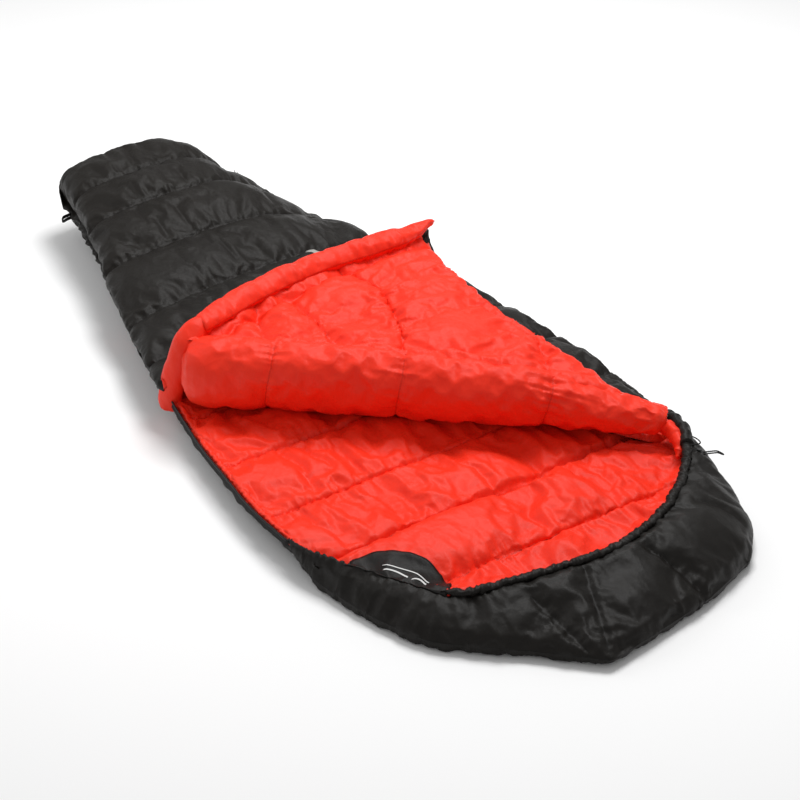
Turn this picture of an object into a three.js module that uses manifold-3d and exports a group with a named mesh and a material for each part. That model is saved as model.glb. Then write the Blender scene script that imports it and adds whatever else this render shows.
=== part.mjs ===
// Mummy sleeping bag, unzipped, with its top corner folded back.
// Millimetres. +X runs from the foot to the hood, +Y away from the zip, +Z up.
// The origin is on the ground, under the middle of the bag.
import * as THREE from "three";
import { mergeVertices } from "three/addons/utils/BufferGeometryUtils.js";
import Module from "manifold-3d";

const wasm = await Module();
wasm.setup();

// ---- Driving dimensions ----

const FABRIC = 1.2; // one skin of shell or lining
const FILL_SHARE = 0.66; // how much of a chamber's height its down pad takes
const RIM_SHARE = 0.3; // the same, round the pad's rim
const DRAW_IN = 0.5; // how far a pad keeps from its chamber edges, as a share of the first step
const FIT_GAP = 0.5; // clearance between neighbouring pieces

// Plan of the bag: [station along the bag, half width].
const HALF_WIDTHS = [
  [-1040, 218],
  [-740, 270],
  [-560, 322],
  [-130, 415],
  [90, 450],
  [330, 467],
  [500, 460],
  [620, 446],
  [750, 420],
  [845, 378],
];
const FOOT_X = -1040; // where the footbox cap starts
const FOOT_BULGE = 46; // how far the cap stands out
const BACK_SEAMS = [-970, -820, -620, -430, -240, -50, 140, 330, 530];
const TOP_SEAMS = [-970, -820, -640, -430, -260, -80, 110, 300];
const TOP_PADS = [-970, -820, -640, -430, -80]; // one pad fills both narrow chambers
const FLAP_PADS = [110, 300, 500];

// Heights of the two quilts.
const BACK_CREST = 50;
const BACK_SEAM_DIP = 12;
const BACK_EDGE = { low: 50, high: 55 };
const TOP_EDGE = { low: 69, high: 73 };
const TOP_CREST = 144.5;
const TOP_UNDERSIDE = 78;
const TOP_SEAM_DIP = 17;
const FOOT_RISE = 44; // how much higher the top quilt stands at the foot
const FOOT_RISE_END = -420;

// The top quilt's corner turns back about a line from the zip (A) to the far side (C).
const FOLD_A = new THREE.Vector3(-130, -415, 145);
const FOLD_C = new THREE.Vector3(580, 405, 145);
const FOLD_ANGLE = THREE.MathUtils.degToRad(179);
const FOLD_GAP = 4.6; // measured along Y, each side of the fold line
const FLAP_START = -112;
const NECK_NEAR = 620; // the flap's neck edge at the zip
const NECK_FAR = 574;
const NECK_COLUMNS = [330, 410, 500, 560, NECK_NEAR];
const NECK_DIP = 70; // how far that edge curves towards the foot
const CORNER_TAPER = 260; // the flap thins out this close to C
const CORNER_THICKNESS = 14;

// The hood turns up about a slanted line across the neck.
const HOOD_NEAR = new THREE.Vector2(845, -430);
const HOOD_FAR = new THREE.Vector2(655, 430);
const HOOD_GAP = 3;
const HOOD_OUTLINE = [
  [852, -372],
  [977, -223],
  [1062, -131],
  [1082, -112],
  [1026, 165],
  [967, 318],
  [860, 390],
  [665, 432],
];
const HOOD_RIM = [
  [846, -290],
  [862, -225],
  [878, -150],
  [886, -40],
  [874, 95],
  [826, 215],
  [766, 298],
  [690, 372],
];
const RIM_HEIGHT = { low: 78, high: 100 };
const HOOD_PANELS = { near: [0, 2], wedge: [2, 3], centre: [3, 4], far: [4, 7] };
const CHANNEL = { radius: 8, bore: 5.5, height: 90, inset: 15 };
const CORD_RADIUS = 1.5;

// Zip: tapes stand upright at the near edge, with the two coils facing each other.
const ZIP = { middle: 66, gap: 1.4, coil: 2.3, tape: 11, offset: 0.5 };
const COIL_DEPTH = 2.5;
const TAPE_DEPTH = 1.2;
const SLIDER = { length: 14, plate: 1.2, height: 10, bridge: 0.8, clearance: 0.3 };
const UPPER_SLIDER_X = -160;
const LOWER_SLIDER_X = -1000;

const COLORS = {
  shell: 0x2f2d2a,
  lining: 0xe63424,
  down: 0xf2efe8,
  trim: 0x161616,
  metal: 0xb9bbbd,
};

// ---- Helpers ----

const lerp = THREE.MathUtils.lerp;

function piecewise(table, x) {
  if (x <= table[0][0]) return table[0][1];
  for (let i = 1; i < table.length; i++) {
    const [x0, y0] = table[i - 1];
    const [x1, y1] = table[i];
    if (x <= x1) return lerp(y0, y1, (x - x0) / (x1 - x0));
  }
  return table[table.length - 1][1];
}

const halfWidth = (x) => piecewise(HALF_WIDTHS, x);

// Where a chamber's stations lie, as shares of the way from one seam to the next.
const CHAMBER_STEPS = [0, 0.25, 0.75];

function puff(x, seams) {
  const ends = [FOOT_X, ...seams, seams[seams.length - 1] + 200];
  for (let i = 1; i < ends.length; i++) {
    if (x > ends[i]) continue;
    const f = (x - ends[i - 1]) / (ends[i] - ends[i - 1]);
    return Math.sqrt(Math.max(0, 1 - (2 * f - 1) ** 2));
  }
  return 0;
}

// Every chamber's own stations, and every corner of the plan in between.
function stations(ends) {
  const first = ends[0];
  const last = ends[ends.length - 1];
  const out = HALF_WIDTHS.map(([x]) => x).filter((x) => x > first && x < last);
  for (let i = 1; i < ends.length; i++)
    for (const f of CHAMBER_STEPS) out.push(lerp(ends[i - 1], ends[i], f));
  out.push(last);
  return [...new Set(out)].sort((a, b) => a - b);
}

// A closed solid between two grids of points that share rows and columns.
function solidBetween(low, high) {
  const rows = low.length;
  const cols = low[0].length;
  const positions = [];
  for (const grid of [low, high])
    for (const row of grid) for (const p of row) positions.push(p.x, p.y, p.z);
  const at = (side, i, j) => side * rows * cols + i * cols + j;
  const faces = [];
  const quad = (a, b, c, d) => faces.push(a, b, c, a, c, d);
  for (let i = 0; i + 1 < rows; i++)
    for (let j = 0; j + 1 < cols; j++) {
      quad(at(0, i, j), at(0, i, j + 1), at(0, i + 1, j + 1), at(0, i + 1, j));
      quad(at(1, i, j), at(1, i + 1, j), at(1, i + 1, j + 1), at(1, i, j + 1));
    }
  for (let i = 0; i + 1 < rows; i++) {
    quad(at(0, i, 0), at(0, i + 1, 0), at(1, i + 1, 0), at(1, i, 0));
    quad(at(0, i + 1, cols - 1), at(0, i, cols - 1), at(1, i, cols - 1), at(1, i + 1, cols - 1));
  }
  for (let j = 0; j + 1 < cols; j++) {
    quad(at(0, 0, j + 1), at(0, 0, j), at(1, 0, j), at(1, 0, j + 1));
    quad(at(0, rows - 1, j), at(0, rows - 1, j + 1), at(1, rows - 1, j + 1), at(1, rows - 1, j));
  }
  return outward(positions, faces);
}

// Turns the faces round if they point inwards.
function outward(positions, faces) {
  const a = new THREE.Vector3();
  const b = new THREE.Vector3();
  const c = new THREE.Vector3();
  let volume = 0;
  for (let k = 0; k < faces.length; k += 3) {
    a.fromArray(positions, 3 * faces[k]);
    b.fromArray(positions, 3 * faces[k + 1]);
    c.fromArray(positions, 3 * faces[k + 2]);
    volume += a.dot(b.cross(c));
  }
  if (volume < 0)
    for (let k = 0; k < faces.length; k += 3)
      [faces[k + 1], faces[k + 2]] = [faces[k + 2], faces[k + 1]];
  const geometry = new THREE.BufferGeometry();
  geometry.setAttribute("position", new THREE.Float32BufferAttribute(positions, 3));
  geometry.setIndex(faces);
  return geometry;
}

// A quilt node is { x, y, low, high }: one spot of the plan and the quilt's two faces there.
const spot = (node, z) => new THREE.Vector3(node.x, node.y, z);

function layer(grid, lowOf, highOf) {
  return solidBetween(
    grid.map((row) => row.map((n) => spot(n, lowOf(n)))),
    grid.map((row) => row.map((n) => spot(n, highOf(n)))),
  );
}

const lowerSkin = (grid) => layer(grid, (n) => n.low, (n) => n.low + FABRIC);
const upperSkin = (grid) => layer(grid, (n) => n.high - FABRIC, (n) => n.high);

function between(a, b, f) {
  return {
    x: lerp(a.x, b.x, f),
    y: lerp(a.y, b.y, f),
    low: lerp(a.low, b.low, f),
    high: lerp(a.high, b.high, f),
  };
}

// The down pad of one chamber: drawn in from the chamber's ends and sides.
function pad(grid) {
  const inside = (list) => {
    const out = list.map((row) => row.map((n) => ({ ...n })));
    const last = list.length - 1;
    out[0] = list[0].map((n, j) => between(n, list[1][j], DRAW_IN));
    out[last] = list[last].map((n, j) => between(n, list[last - 1][j], DRAW_IN));
    return out;
  };
  const flipped = (list) => list[0].map((_, j) => list.map((row) => row[j]));
  const drawnIn = flipped(inside(flipped(inside(grid))));
  const lastRow = drawnIn.length - 1;
  const lastColumn = drawnIn[0].length - 1;
  drawnIn.forEach((row, i) => row.forEach((n, j) => {
    const onRim = i === 0 || j === 0 || i === lastRow || j === lastColumn;
    n.share = onRim ? RIM_SHARE : FILL_SHARE;
  }));
  const reach = (n) => ((n.high - n.low) / 2) * n.share;
  const middle = (n) => (n.high + n.low) / 2;
  return layer(drawnIn, (n) => middle(n) - reach(n), (n) => middle(n) + reach(n));
}

// A closed tube along a list of points. With a bore it is open at both ends.
function tube(points, rx, rz, bore = 0, sides = 8) {
  const ring = (index, scale) => {
    const here = points[index];
    const before = points[Math.max(0, index - 1)];
    const after = points[Math.min(points.length - 1, index + 1)];
    const along = after.clone().sub(before).normalize();
    const helper = Math.abs(along.z) > 0.9 ? new THREE.Vector3(1, 0, 0) : new THREE.Vector3(0, 0, 1);
    const side = new THREE.Vector3().crossVectors(helper, along).normalize();
    const up = new THREE.Vector3().crossVectors(along, side).normalize();
    return Array.from({ length: sides }, (_, k) => {
      const t = (2 * Math.PI * k) / sides;
      return here
        .clone()
        .addScaledVector(side, rx * scale * Math.cos(t))
        .addScaledVector(up, rz * scale * Math.sin(t));
    });
  };
  const scales = bore ? [1, bore] : [1];
  const rings = scales.map((scale) => points.map((_, i) => ring(i, scale)));
  const positions = rings.flat(2).flatMap((p) => p.toArray());
  const n = points.length;
  const at = (shell, i, k) => shell * n * sides + i * sides + (k % sides);
  const faces = [];
  const quad = (a, b, c, d) => faces.push(a, b, c, a, c, d);
  for (let k = 0; k < sides; k++) {
    for (let i = 0; i + 1 < n; i++) {
      quad(at(0, i, k), at(0, i, k + 1), at(0, i + 1, k + 1), at(0, i + 1, k));
      if (bore) quad(at(1, i, k), at(1, i + 1, k), at(1, i + 1, k + 1), at(1, i, k + 1));
    }
    if (!bore) continue;
    quad(at(0, 0, k + 1), at(0, 0, k), at(1, 0, k), at(1, 0, k + 1));
    quad(at(0, n - 1, k), at(0, n - 1, k + 1), at(1, n - 1, k + 1), at(1, n - 1, k));
  }
  if (!bore)
    for (let k = 1; k + 1 < sides; k++) {
      faces.push(at(0, 0, 0), at(0, 0, k + 1), at(0, 0, k));
      faces.push(at(0, n - 1, 0), at(0, n - 1, k), at(0, n - 1, k + 1));
    }
  return outward(positions, faces);
}

// An upright strip that follows a plan path, from one sideways offset to another.
function strip(path, fromOffset, toOffset, low, high) {
  const normals = path.map((_, i) => {
    const before = path[Math.max(0, i - 1)];
    const after = path[Math.min(path.length - 1, i + 1)];
    const along = after.clone().sub(before).normalize();
    return new THREE.Vector2(along.y, -along.x);
  });
  const grid = path.map((p, i) =>
    [fromOffset, toOffset].map((offset) => {
      const moved = p.clone().addScaledVector(normals[i], offset);
      return { x: moved.x, y: moved.y, low, high };
    }),
  );
  return layer(grid, (n) => n.low, (n) => n.high);
}

const plan = (x, y) => new THREE.Vector2(x, y);

// The near (zip) edge between two stations, foot to head, and the far edge.
function edgePath(from, to, side) {
  const corners = HALF_WIDTHS.map(([x]) => x).filter((x) => x > from && x < to);
  return [from, ...corners, to].map((x) => plan(x, side * halfWidth(x)));
}

function block(x0, x1, y0, y1, z0, z1) {
  const geometry = new THREE.BoxGeometry(x1 - x0, y1 - y0, z1 - z0);
  return geometry.translate((x0 + x1) / 2, (y0 + y1) / 2, (z0 + z1) / 2);
}

function toManifold(geometry) {
  const bare = geometry.clone();
  bare.deleteAttribute("normal");
  bare.deleteAttribute("uv");
  const merged = mergeVertices(bare, 1e-4);
  return new wasm.Manifold(
    new wasm.Mesh({
      numProp: 3,
      vertProperties: new Float32Array(merged.attributes.position.array),
      triVerts: new Uint32Array(merged.index.array),
    }),
  );
}

function fromManifold(solid) {
  const mesh = solid.getMesh();
  const geometry = new THREE.BufferGeometry();
  geometry.setAttribute("position", new THREE.Float32BufferAttribute(mesh.vertProperties, 3));
  geometry.setIndex(Array.from(mesh.triVerts));
  return geometry;
}

const join = (...parts) => fromManifold(parts.map(toManifold).reduce((a, b) => a.add(b)));
const cut = (body, ...tools) =>
  fromManifold(tools.map(toManifold).reduce((a, b) => a.subtract(b), toManifold(body)));

function piece(parent, name, geometry, color) {
  const metal = color === COLORS.metal;
  const material = new THREE.MeshStandardMaterial({
    color,
    roughness: metal ? 0.35 : 0.7,
    metalness: metal ? 1 : 0,
  });
  const mesh = new THREE.Mesh(geometry, material);
  mesh.name = name;
  parent.add(mesh);
  return mesh;
}

// ---- The two quilts ----

const ROWS = [-1, -0.88, -0.6, 0, 0.6, 0.88, 1];
const rounding = (s) => Math.sqrt(Math.max(0, 1 - Math.abs(s) ** 8));

const hoodLineX = (y) =>
  lerp(HOOD_NEAR.x, HOOD_FAR.x, (y - HOOD_NEAR.y) / (HOOD_FAR.y - HOOD_NEAR.y));

function backNode(x, y) {
  const s = Math.abs(y) / halfWidth(x);
  const side = THREE.MathUtils.clamp((s - 0.7) / 0.3, 0, 1);
  const crest = BACK_CREST - BACK_SEAM_DIP * (1 - puff(x, BACK_SEAMS));
  const shoulder = lerp(crest, BACK_CREST - BACK_SEAM_DIP, Math.min(1, side / 0.6));
  const high = side < 0.6 ? shoulder : lerp(shoulder, BACK_EDGE.high, (side - 0.6) / 0.4);
  return { x, y, low: BACK_EDGE.low * side ** 2, high };
}

// Columns run across the bag; the last ones lean over to meet the hood's line.
const LEANING = [
  { near: 620, far: 570 },
  { near: 750, far: 615 },
  { near: 831, far: 650 },
];

// A column keeps its station, so that a chamber can be picked out of the grid.
const column = (station, nodes) => Object.assign(nodes, { station });

function backGrid() {
  const straight = stations([FOOT_X, ...BACK_SEAMS]).map((x) =>
    column(x, ROWS.map((s) => backNode(x, s * halfWidth(x)))),
  );
  const leaning = LEANING.map(({ near, far }) =>
    column(near, ROWS.map((s) => {
      const v = (s + 1) / 2;
      return backNode(lerp(near, far, v), lerp(-halfWidth(near), halfWidth(far), v));
    })),
  );
  return [...straight, ...leaning];
}

const foldY = (x) =>
  lerp(FOLD_A.y, FOLD_C.y, (x - FOLD_A.x) / (FOLD_C.x - FOLD_A.x));

function topNode(x, y) {
  const s = y / halfWidth(x);
  const round = rounding(s);
  const rise = FOOT_RISE * THREE.MathUtils.smoothstep(-x, -FOOT_RISE_END, -FOOT_X);
  const dip = TOP_SEAM_DIP * (1 - puff(x, TOP_SEAMS));
  return {
    x,
    y,
    low: lerp(TOP_EDGE.low, TOP_UNDERSIDE + rise * 0.8 + dip * 0.6, round),
    high: lerp(TOP_EDGE.high, TOP_CREST + rise - dip, round),
  };
}

function topGrid() {
  const last = FOLD_C.x - 50;
  return stations([FOOT_X, ...TOP_SEAMS, last]).map((x) => {
    const near = Math.max(-halfWidth(x), foldY(x) + FOLD_GAP);
    return column(x, ROWS.map((s) => topNode(x, lerp(near, halfWidth(x), (s + 1) / 2))));
  });
}

// The flap is laid out as it lies when the bag is shut.
const FLAP_ROWS = [0, 0.1, 0.25, 0.5, 0.75, 1];

function flapNode(x, y) {
  const s = y / halfWidth(x);
  const round = s < 0 ? rounding(s) : 1;
  const dip = TOP_SEAM_DIP * (1 - puff(x, TOP_SEAMS));
  const toCorner = Math.hypot(x - FOLD_C.x, y - FOLD_C.y) / CORNER_TAPER;
  const full = TOP_CREST - TOP_UNDERSIDE;
  const thickness = lerp(CORNER_THICKNESS, full - dip * 1.6, Math.min(1, toCorner));
  const high = TOP_CREST - Math.min(dip, dip * toCorner);
  return {
    x,
    y,
    low: lerp(TOP_EDGE.low, high - thickness, round),
    high: lerp(TOP_EDGE.high, high, round),
  };
}

function flapGrid() {
  const seams = TOP_SEAMS.filter((x) => x > FLAP_START + 50);
  const lastSeam = seams[seams.length - 1];
  const straight = stations([FLAP_START, ...seams]).map((x) =>
    column(x, FLAP_ROWS.map((v) => flapNode(x, lerp(-halfWidth(x), foldY(x) - FOLD_GAP, v)))),
  );
  const towardsNeck = NECK_COLUMNS.map((nearX) => {
    const f = (nearX - lastSeam) / (NECK_NEAR - lastSeam);
    const farX = lerp(lastSeam, NECK_FAR, f);
    return column(nearX, FLAP_ROWS.map((v) => {
      const x = lerp(nearX, farX, v) - 4 * NECK_DIP * f * v * (1 - v);
      return flapNode(x, lerp(-halfWidth(nearX), foldY(farX) - FOLD_GAP, v));
    }));
  });
  return [...straight, ...towardsNeck];
}

// One down pad for each chamber between two stations.
function buildPads(body, name, grid, ends) {
  for (let k = 1; k < ends.length; k++) {
    const chamber = grid.filter(({ station }) => station >= ends[k - 1] && station <= ends[k]);
    piece(body, name + "_" + String(k).padStart(2, "0"), pad(chamber), COLORS.down);
  }
}

function buildBack(body) {
  const grid = backGrid();
  piece(body, "back_shell", lowerSkin(grid), COLORS.shell);
  piece(body, "back_lining", upperSkin(grid), COLORS.lining);
  buildPads(body, "back_down", grid, [FOOT_X, ...BACK_SEAMS, HOOD_NEAR.x]);
}

function buildTop(body) {
  const grid = topGrid();
  piece(body, "top_shell", upperSkin(grid), COLORS.shell);
  piece(body, "top_lining", lowerSkin(grid), COLORS.lining);
  buildPads(body, "top_down", grid, [FOOT_X, ...TOP_PADS, FOLD_C.x]);
}

// The footbox cap closes the foot end with a bulged quilt that stands upright.
function buildFootbox(body) {
  const levels = [0, 0.2, 0.5, 0.8, 1];
  const across = [-0.97, -0.8, -0.45, 0, 0.45, 0.8, 0.97];
  const face = (depth) =>
    levels.map((f) =>
      across.map((s) => {
        const y = s * halfWidth(FOOT_X);
        const bottom = backNode(FOOT_X, y).low;
        const top = topNode(FOOT_X, y).high;
        const bulge = Math.sqrt(1 - s * s) * Math.sqrt(1 - (2 * f - 1) ** 2);
        const x = FOOT_X - FIT_GAP - lerp(0, 6 + (FOOT_BULGE - 6) * bulge, depth);
        return new THREE.Vector3(x, y, lerp(bottom, top, f));
      }),
    );
  piece(body, "footbox_lining", solidBetween(face(0), face(0.12)), COLORS.lining);
  piece(body, "footbox_down", solidBetween(face(0.24), face(0.76)), COLORS.down);
  piece(body, "footbox_shell", solidBetween(face(0.88), face(1)), COLORS.shell);
}

// ---- Zip, seams and labels on the bag ----

function coilLevels(side) {
  const start = ZIP.middle + (side * ZIP.gap) / 2;
  const end = start + side * ZIP.coil;
  const tapeStart = end + side * 0.3;
  return { coil: [start, end], tape: [tapeStart, tapeStart + side * ZIP.tape] };
}

// Half of the zip along one stretch of the near edge: side -1 is the back's, 1 the top's.
function zipHalf(parent, names, from, to, side) {
  const path = edgePath(from, to, -1);
  const { coil, tape } = coilLevels(side);
  const sorted = (pair) => [Math.min(...pair), Math.max(...pair)];
  const near = ZIP.offset;
  piece(parent, names.coil, strip(path, near, near + COIL_DEPTH, ...sorted(coil)), COLORS.trim);
  piece(parent, names.tape, strip(path, near, near + TAPE_DEPTH, ...sorted(tape)), COLORS.trim);
}

const GUARD = { outer: 5, inner: 16, low: 56.5, high: 57.5 };

function buildSeams(body) {
  const toEdge = ZIP.offset;
  zipHalf(body, { coil: "zip_coil_back", tape: "zip_tape_back" }, FOOT_X + 6, NECK_NEAR, -1);
  zipHalf(body, { coil: "zip_coil_top", tape: "zip_tape_top" }, FOOT_X + 6, FOLD_A.x - 9, 1);
  const farEdge = edgePath(FOOT_X + 2, FOLD_C.x - 52, 1);
  const far = strip(farEdge, -toEdge - 1.5, -toEdge, BACK_EDGE.low, TOP_EDGE.high);
  piece(body, "side_seam_tape", far, COLORS.trim);
  const guardPath = edgePath(FOLD_A.x + 40, NECK_NEAR - 20, -1);
  const guard = strip(guardPath, -GUARD.inner, -GUARD.outer, GUARD.low, GUARD.high);
  piece(body, "zip_guard_strip", guard, COLORS.lining);
}

// A half-moon patch beside the zip, at the neck.
const PATCH = { halfWidth: 84, depth: 92, x: 714, y: -372, z: 57, turn: 22 };

function buildPatch(body) {
  const shape = new THREE.Shape();
  shape.moveTo(-PATCH.halfWidth, 0);
  shape.absellipse(0, 0, PATCH.halfWidth, PATCH.depth, Math.PI, 0, true);
  shape.closePath();
  const patch = new THREE.ExtrudeGeometry(shape, {
    depth: FABRIC,
    bevelEnabled: false,
    curveSegments: 7,
  });
  patch.rotateZ(THREE.MathUtils.degToRad(PATCH.turn));
  patch.translate(PATCH.x, PATCH.y, PATCH.z);
  piece(body, "neck_patch", patch, COLORS.trim);
}

// ---- Sliders, pulls and loops ----

// The slider's own frame: +X along the zip, -Y outwards, origin in the coils' gap.
function sliderGeometry() {
  const { length, plate, height, bridge, clearance } = SLIDER;
  const inner = -(ZIP.offset - clearance);
  const outer = -(ZIP.offset + COIL_DEPTH + clearance);
  const half = length / 2;
  const innerHeight = (TOP_EDGE.low - BACK_EDGE.high) / 2 - 1.5;
  const middleOfEdges = (TOP_EDGE.low + BACK_EDGE.high) / 2 - ZIP.middle;
  const innerPlate = block(
    -half, half, inner, inner + plate, middleOfEdges - innerHeight, middleOfEdges + innerHeight,
  );
  const outerPlate = block(-half, half, outer - plate, outer, -height / 2, height / 2);
  const joint = block(-3, 3, outer - 0.1, inner + 0.1, -bridge / 2, bridge / 2);
  const lug = block(-1.6, 1.6, outer - plate - 4.4, outer - plate + 0.1, -2.2, 2.2);
  const hole = new THREE.CylinderGeometry(1, 1, 5, 12);
  hole.rotateZ(Math.PI / 2);
  hole.translate(0, outer - plate - 2.6, 0);
  return { body: cut(join(innerPlate, outerPlate, joint, lug), hole), pinY: outer - plate - 2.6 };
}

// A pull that hangs from the slider's lug by a cross pin.
function pullGeometry(pinY, length, ringPull) {
  const arm = (side) => block(side * 2.1 - (side < 0 ? 1.3 : 0), side * 2.1 + (side > 0 ? 1.3 : 0),
    pinY - 1, pinY + 1, -7.6, 1.4);
  const pin = new THREE.CylinderGeometry(0.7, 0.7, 5.4, 12);
  pin.rotateZ(Math.PI / 2);
  pin.translate(0, pinY, 0);
  const yoke = block(-3.4, 3.4, pinY - 1, pinY + 1, -9.4, -7.5);
  if (!ringPull) {
    const tab = block(-3.2, 3.2, pinY - 0.8, pinY + 0.8, -length, -9.3);
    return join(arm(-1), arm(1), pin, yoke, tab);
  }
  const ring = new THREE.TorusGeometry(6, 1, 8, 20);
  ring.rotateX(Math.PI / 2);
  ring.translate(0, pinY, -15.8);
  return join(arm(-1), arm(1), pin, yoke, ring);
}

function zipFrame(x) {
  const step = 10;
  const here = plan(x, -halfWidth(x));
  const ahead = plan(x + step, -halfWidth(x + step));
  const group = new THREE.Group();
  group.position.set(here.x, here.y, ZIP.middle);
  group.rotation.z = Math.atan2(ahead.y - here.y, ahead.x - here.x);
  return group;
}

function buildSliders(root) {
  const sliders = [
    { name: "upper", x: UPPER_SLIDER_X, length: 34, ringPull: false },
    { name: "lower", x: LOWER_SLIDER_X, length: 22, ringPull: true },
  ];
  for (const { name, x, length, ringPull } of sliders) {
    const frame = zipFrame(x);
    const { body, pinY } = sliderGeometry();
    piece(frame, "slider_" + name, body, COLORS.metal);
    piece(frame, "pull_" + name, pullGeometry(pinY, length, ringPull),
      ringPull ? COLORS.metal : COLORS.trim);
    root.add(frame);
  }
}

// A webbing loop sewn to a foot corner; it stands outwards from its sewn end.
const LOOP = { length: 46, width: 18, webbing: 2, depth: 9, x: -1026, z: 84 };

function buildLoops(root) {
  for (const side of [-1, 1]) {
    const outer = new THREE.Shape();
    const { length, width, webbing } = LOOP;
    outer.moveTo(0, -width / 2);
    outer.lineTo(length - width / 2, -width / 2);
    outer.absarc(length - width / 2, 0, width / 2, -Math.PI / 2, Math.PI / 2, false);
    outer.lineTo(0, width / 2);
    outer.closePath();
    const hole = new THREE.Path();
    hole.moveTo(webbing, -width / 2 + webbing);
    hole.lineTo(length - width / 2, -width / 2 + webbing);
    hole.absarc(length - width / 2, 0, width / 2 - webbing, -Math.PI / 2, Math.PI / 2, false);
    hole.lineTo(webbing, width / 2 - webbing);
    hole.closePath();
    outer.holes.push(hole);
    const loop = new THREE.ExtrudeGeometry(outer, {
      depth: LOOP.depth,
      bevelEnabled: false,
      curveSegments: 6,
    });
    loop.translate(0, 0, -LOOP.depth / 2);
    const mesh = piece(root, side < 0 ? "hang_loop_near" : "hang_loop_far", loop, COLORS.trim);
    mesh.rotation.z = (side * Math.PI) / 2;
    mesh.position.set(LOOP.x, side * (halfWidth(LOOP.x) + 6), LOOP.z);
  }
}

// ---- The flap: the top quilt's loose corner ----

const TAB = { gap: 4, inset: 10, length: 22, width: 16, levels: [69, 71] };
const DRAFT_TUBE = { from: FOLD_A.x + 70, to: NECK_NEAR - 22, inset: 42, z: 60, rx: 21, rz: 7.5 };
const DRAFT_BORE = 0.86; // the sleeve's inside, as a share of its outside
const DRAFT_DOWN = { rx: 16, rz: 5, shorter: 0.05 };

// The draft tube lies inside, along the zip: a flattened sleeve with its own down.
function buildDraftTube(flap) {
  const { from, to, inset, z, rx, rz } = DRAFT_TUBE;
  const centre = edgePath(from, to, -1).map((p) => new THREE.Vector3(p.x, p.y + inset, z));
  const inside = centre.slice();
  const last = centre.length - 1;
  inside[0] = centre[0].clone().lerp(centre[1], DRAFT_DOWN.shorter);
  inside[last] = centre[last].clone().lerp(centre[last - 1], DRAFT_DOWN.shorter);
  piece(flap, "draft_tube", tube(centre, rx, rz, DRAFT_BORE, 12), COLORS.lining);
  piece(flap, "draft_tube_down", tube(inside, DRAFT_DOWN.rx, DRAFT_DOWN.rz, 0, 10), COLORS.down);
}

function buildFlap() {
  const flap = new THREE.Group();
  const grid = flapGrid();
  piece(flap, "flap_shell", upperSkin(grid), COLORS.shell);
  piece(flap, "flap_lining", lowerSkin(grid), COLORS.lining);
  buildPads(flap, "flap_down", grid, [FLAP_START, ...FLAP_PADS, NECK_NEAR]);
  zipHalf(flap, { coil: "flap_zip_coil", tape: "flap_zip_tape" }, FOLD_A.x + 12, NECK_NEAR, 1);

  const neck = grid[grid.length - 1];
  const binding = [FIT_GAP, FIT_GAP + 1.5].map((out) =>
    neck.map((n) => ({ ...n, x: n.x + out })),
  );
  piece(flap, "neck_binding", layer(binding, (n) => n.low, (n) => n.high), COLORS.trim);

  buildDraftTube(flap);
  const tabX = NECK_NEAR + TAB.gap;
  const tabY = -halfWidth(NECK_NEAR) + TAB.inset;
  const tab = block(tabX, tabX + TAB.length, tabY, tabY + TAB.width, ...TAB.levels);
  piece(flap, "zip_tab", tab, COLORS.trim);

  // Turn it back about the fold line.
  const axis = FOLD_C.clone().sub(FOLD_A).normalize();
  const turn = new THREE.Matrix4().makeRotationAxis(axis, -FOLD_ANGLE);
  const about = new THREE.Matrix4()
    .makeTranslation(FOLD_A.x, FOLD_A.y, FOLD_A.z)
    .multiply(turn)
    .multiply(new THREE.Matrix4().makeTranslation(-FOLD_A.x, -FOLD_A.y, -FOLD_A.z));
  flap.applyMatrix4(about);
  return flap;
}

// ---- Hood ----

const HOOD_NECK = { near: -368, far: 426 };

function hoodNeck() {
  return HOOD_OUTLINE.map((_, j) => {
    const y = lerp(HOOD_NECK.near, HOOD_NECK.far, j / (HOOD_OUTLINE.length - 1));
    return plan(hoodLineX(y) + HOOD_GAP, y);
  });
}

function buildHoodBase(hood) {
  const neck = hoodNeck();
  const steps = [0, 0.35, 0.7, 1];
  const lows = [0, 0, 0, 10];
  const highs = [46, 44, 38, 27];
  const fullness = [0, 0.5, 1, 1, 1, 1, 0.5, 0];
  const grid = steps.map((f, i) =>
    HOOD_OUTLINE.map(([x, y], j) => ({
      x: lerp(neck[j].x, x, f),
      y: lerp(neck[j].y, y, f),
      low: lows[i],
      high: lerp(highs[highs.length - 1], highs[i], fullness[j]),
    })),
  );
  piece(hood, "hood_base_shell", lowerSkin(grid), COLORS.shell);
  piece(hood, "hood_lining", upperSkin(grid), COLORS.lining);
  piece(hood, "hood_down", pad(grid), COLORS.down);
}

// The black panels rise from the hood's outline to its rim.
function buildHoodPanels(hood) {
  const steps = [0, 0.5, 1];
  const lows = [29, 53, RIM_HEIGHT.low];
  const highs = [37, 76, RIM_HEIGHT.high];
  for (const [name, [from, to]] of Object.entries(HOOD_PANELS)) {
    const columns = [];
    for (let j = from; j <= to; j++) {
      const edge = j === from ? FIT_GAP : j === to ? -FIT_GAP : 0;
      columns.push(
        steps.map((f, i) => ({
          x: lerp(HOOD_OUTLINE[j][0], HOOD_RIM[j][0], f),
          y: lerp(HOOD_OUTLINE[j][1], HOOD_RIM[j][1], f) + edge,
          low: lows[i],
          high: highs[i],
        })),
      );
    }
    piece(hood, "hood_panel_" + name, layer(columns, (n) => n.low, (n) => n.high), COLORS.shell);
  }
}

// Where the drawcord leaves its channel: two strands run out side by side.
const EXIT = new THREE.Vector3(676, 384, CHANNEL.height);
const OUTWARDS = new THREE.Vector3(0.35, 0.94, 0).normalize();
const SIDEWAYS = new THREE.Vector3(OUTWARDS.y, -OUTWARDS.x, 0);
const STRANDS = { apart: 3.6, length: 92 };

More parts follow.
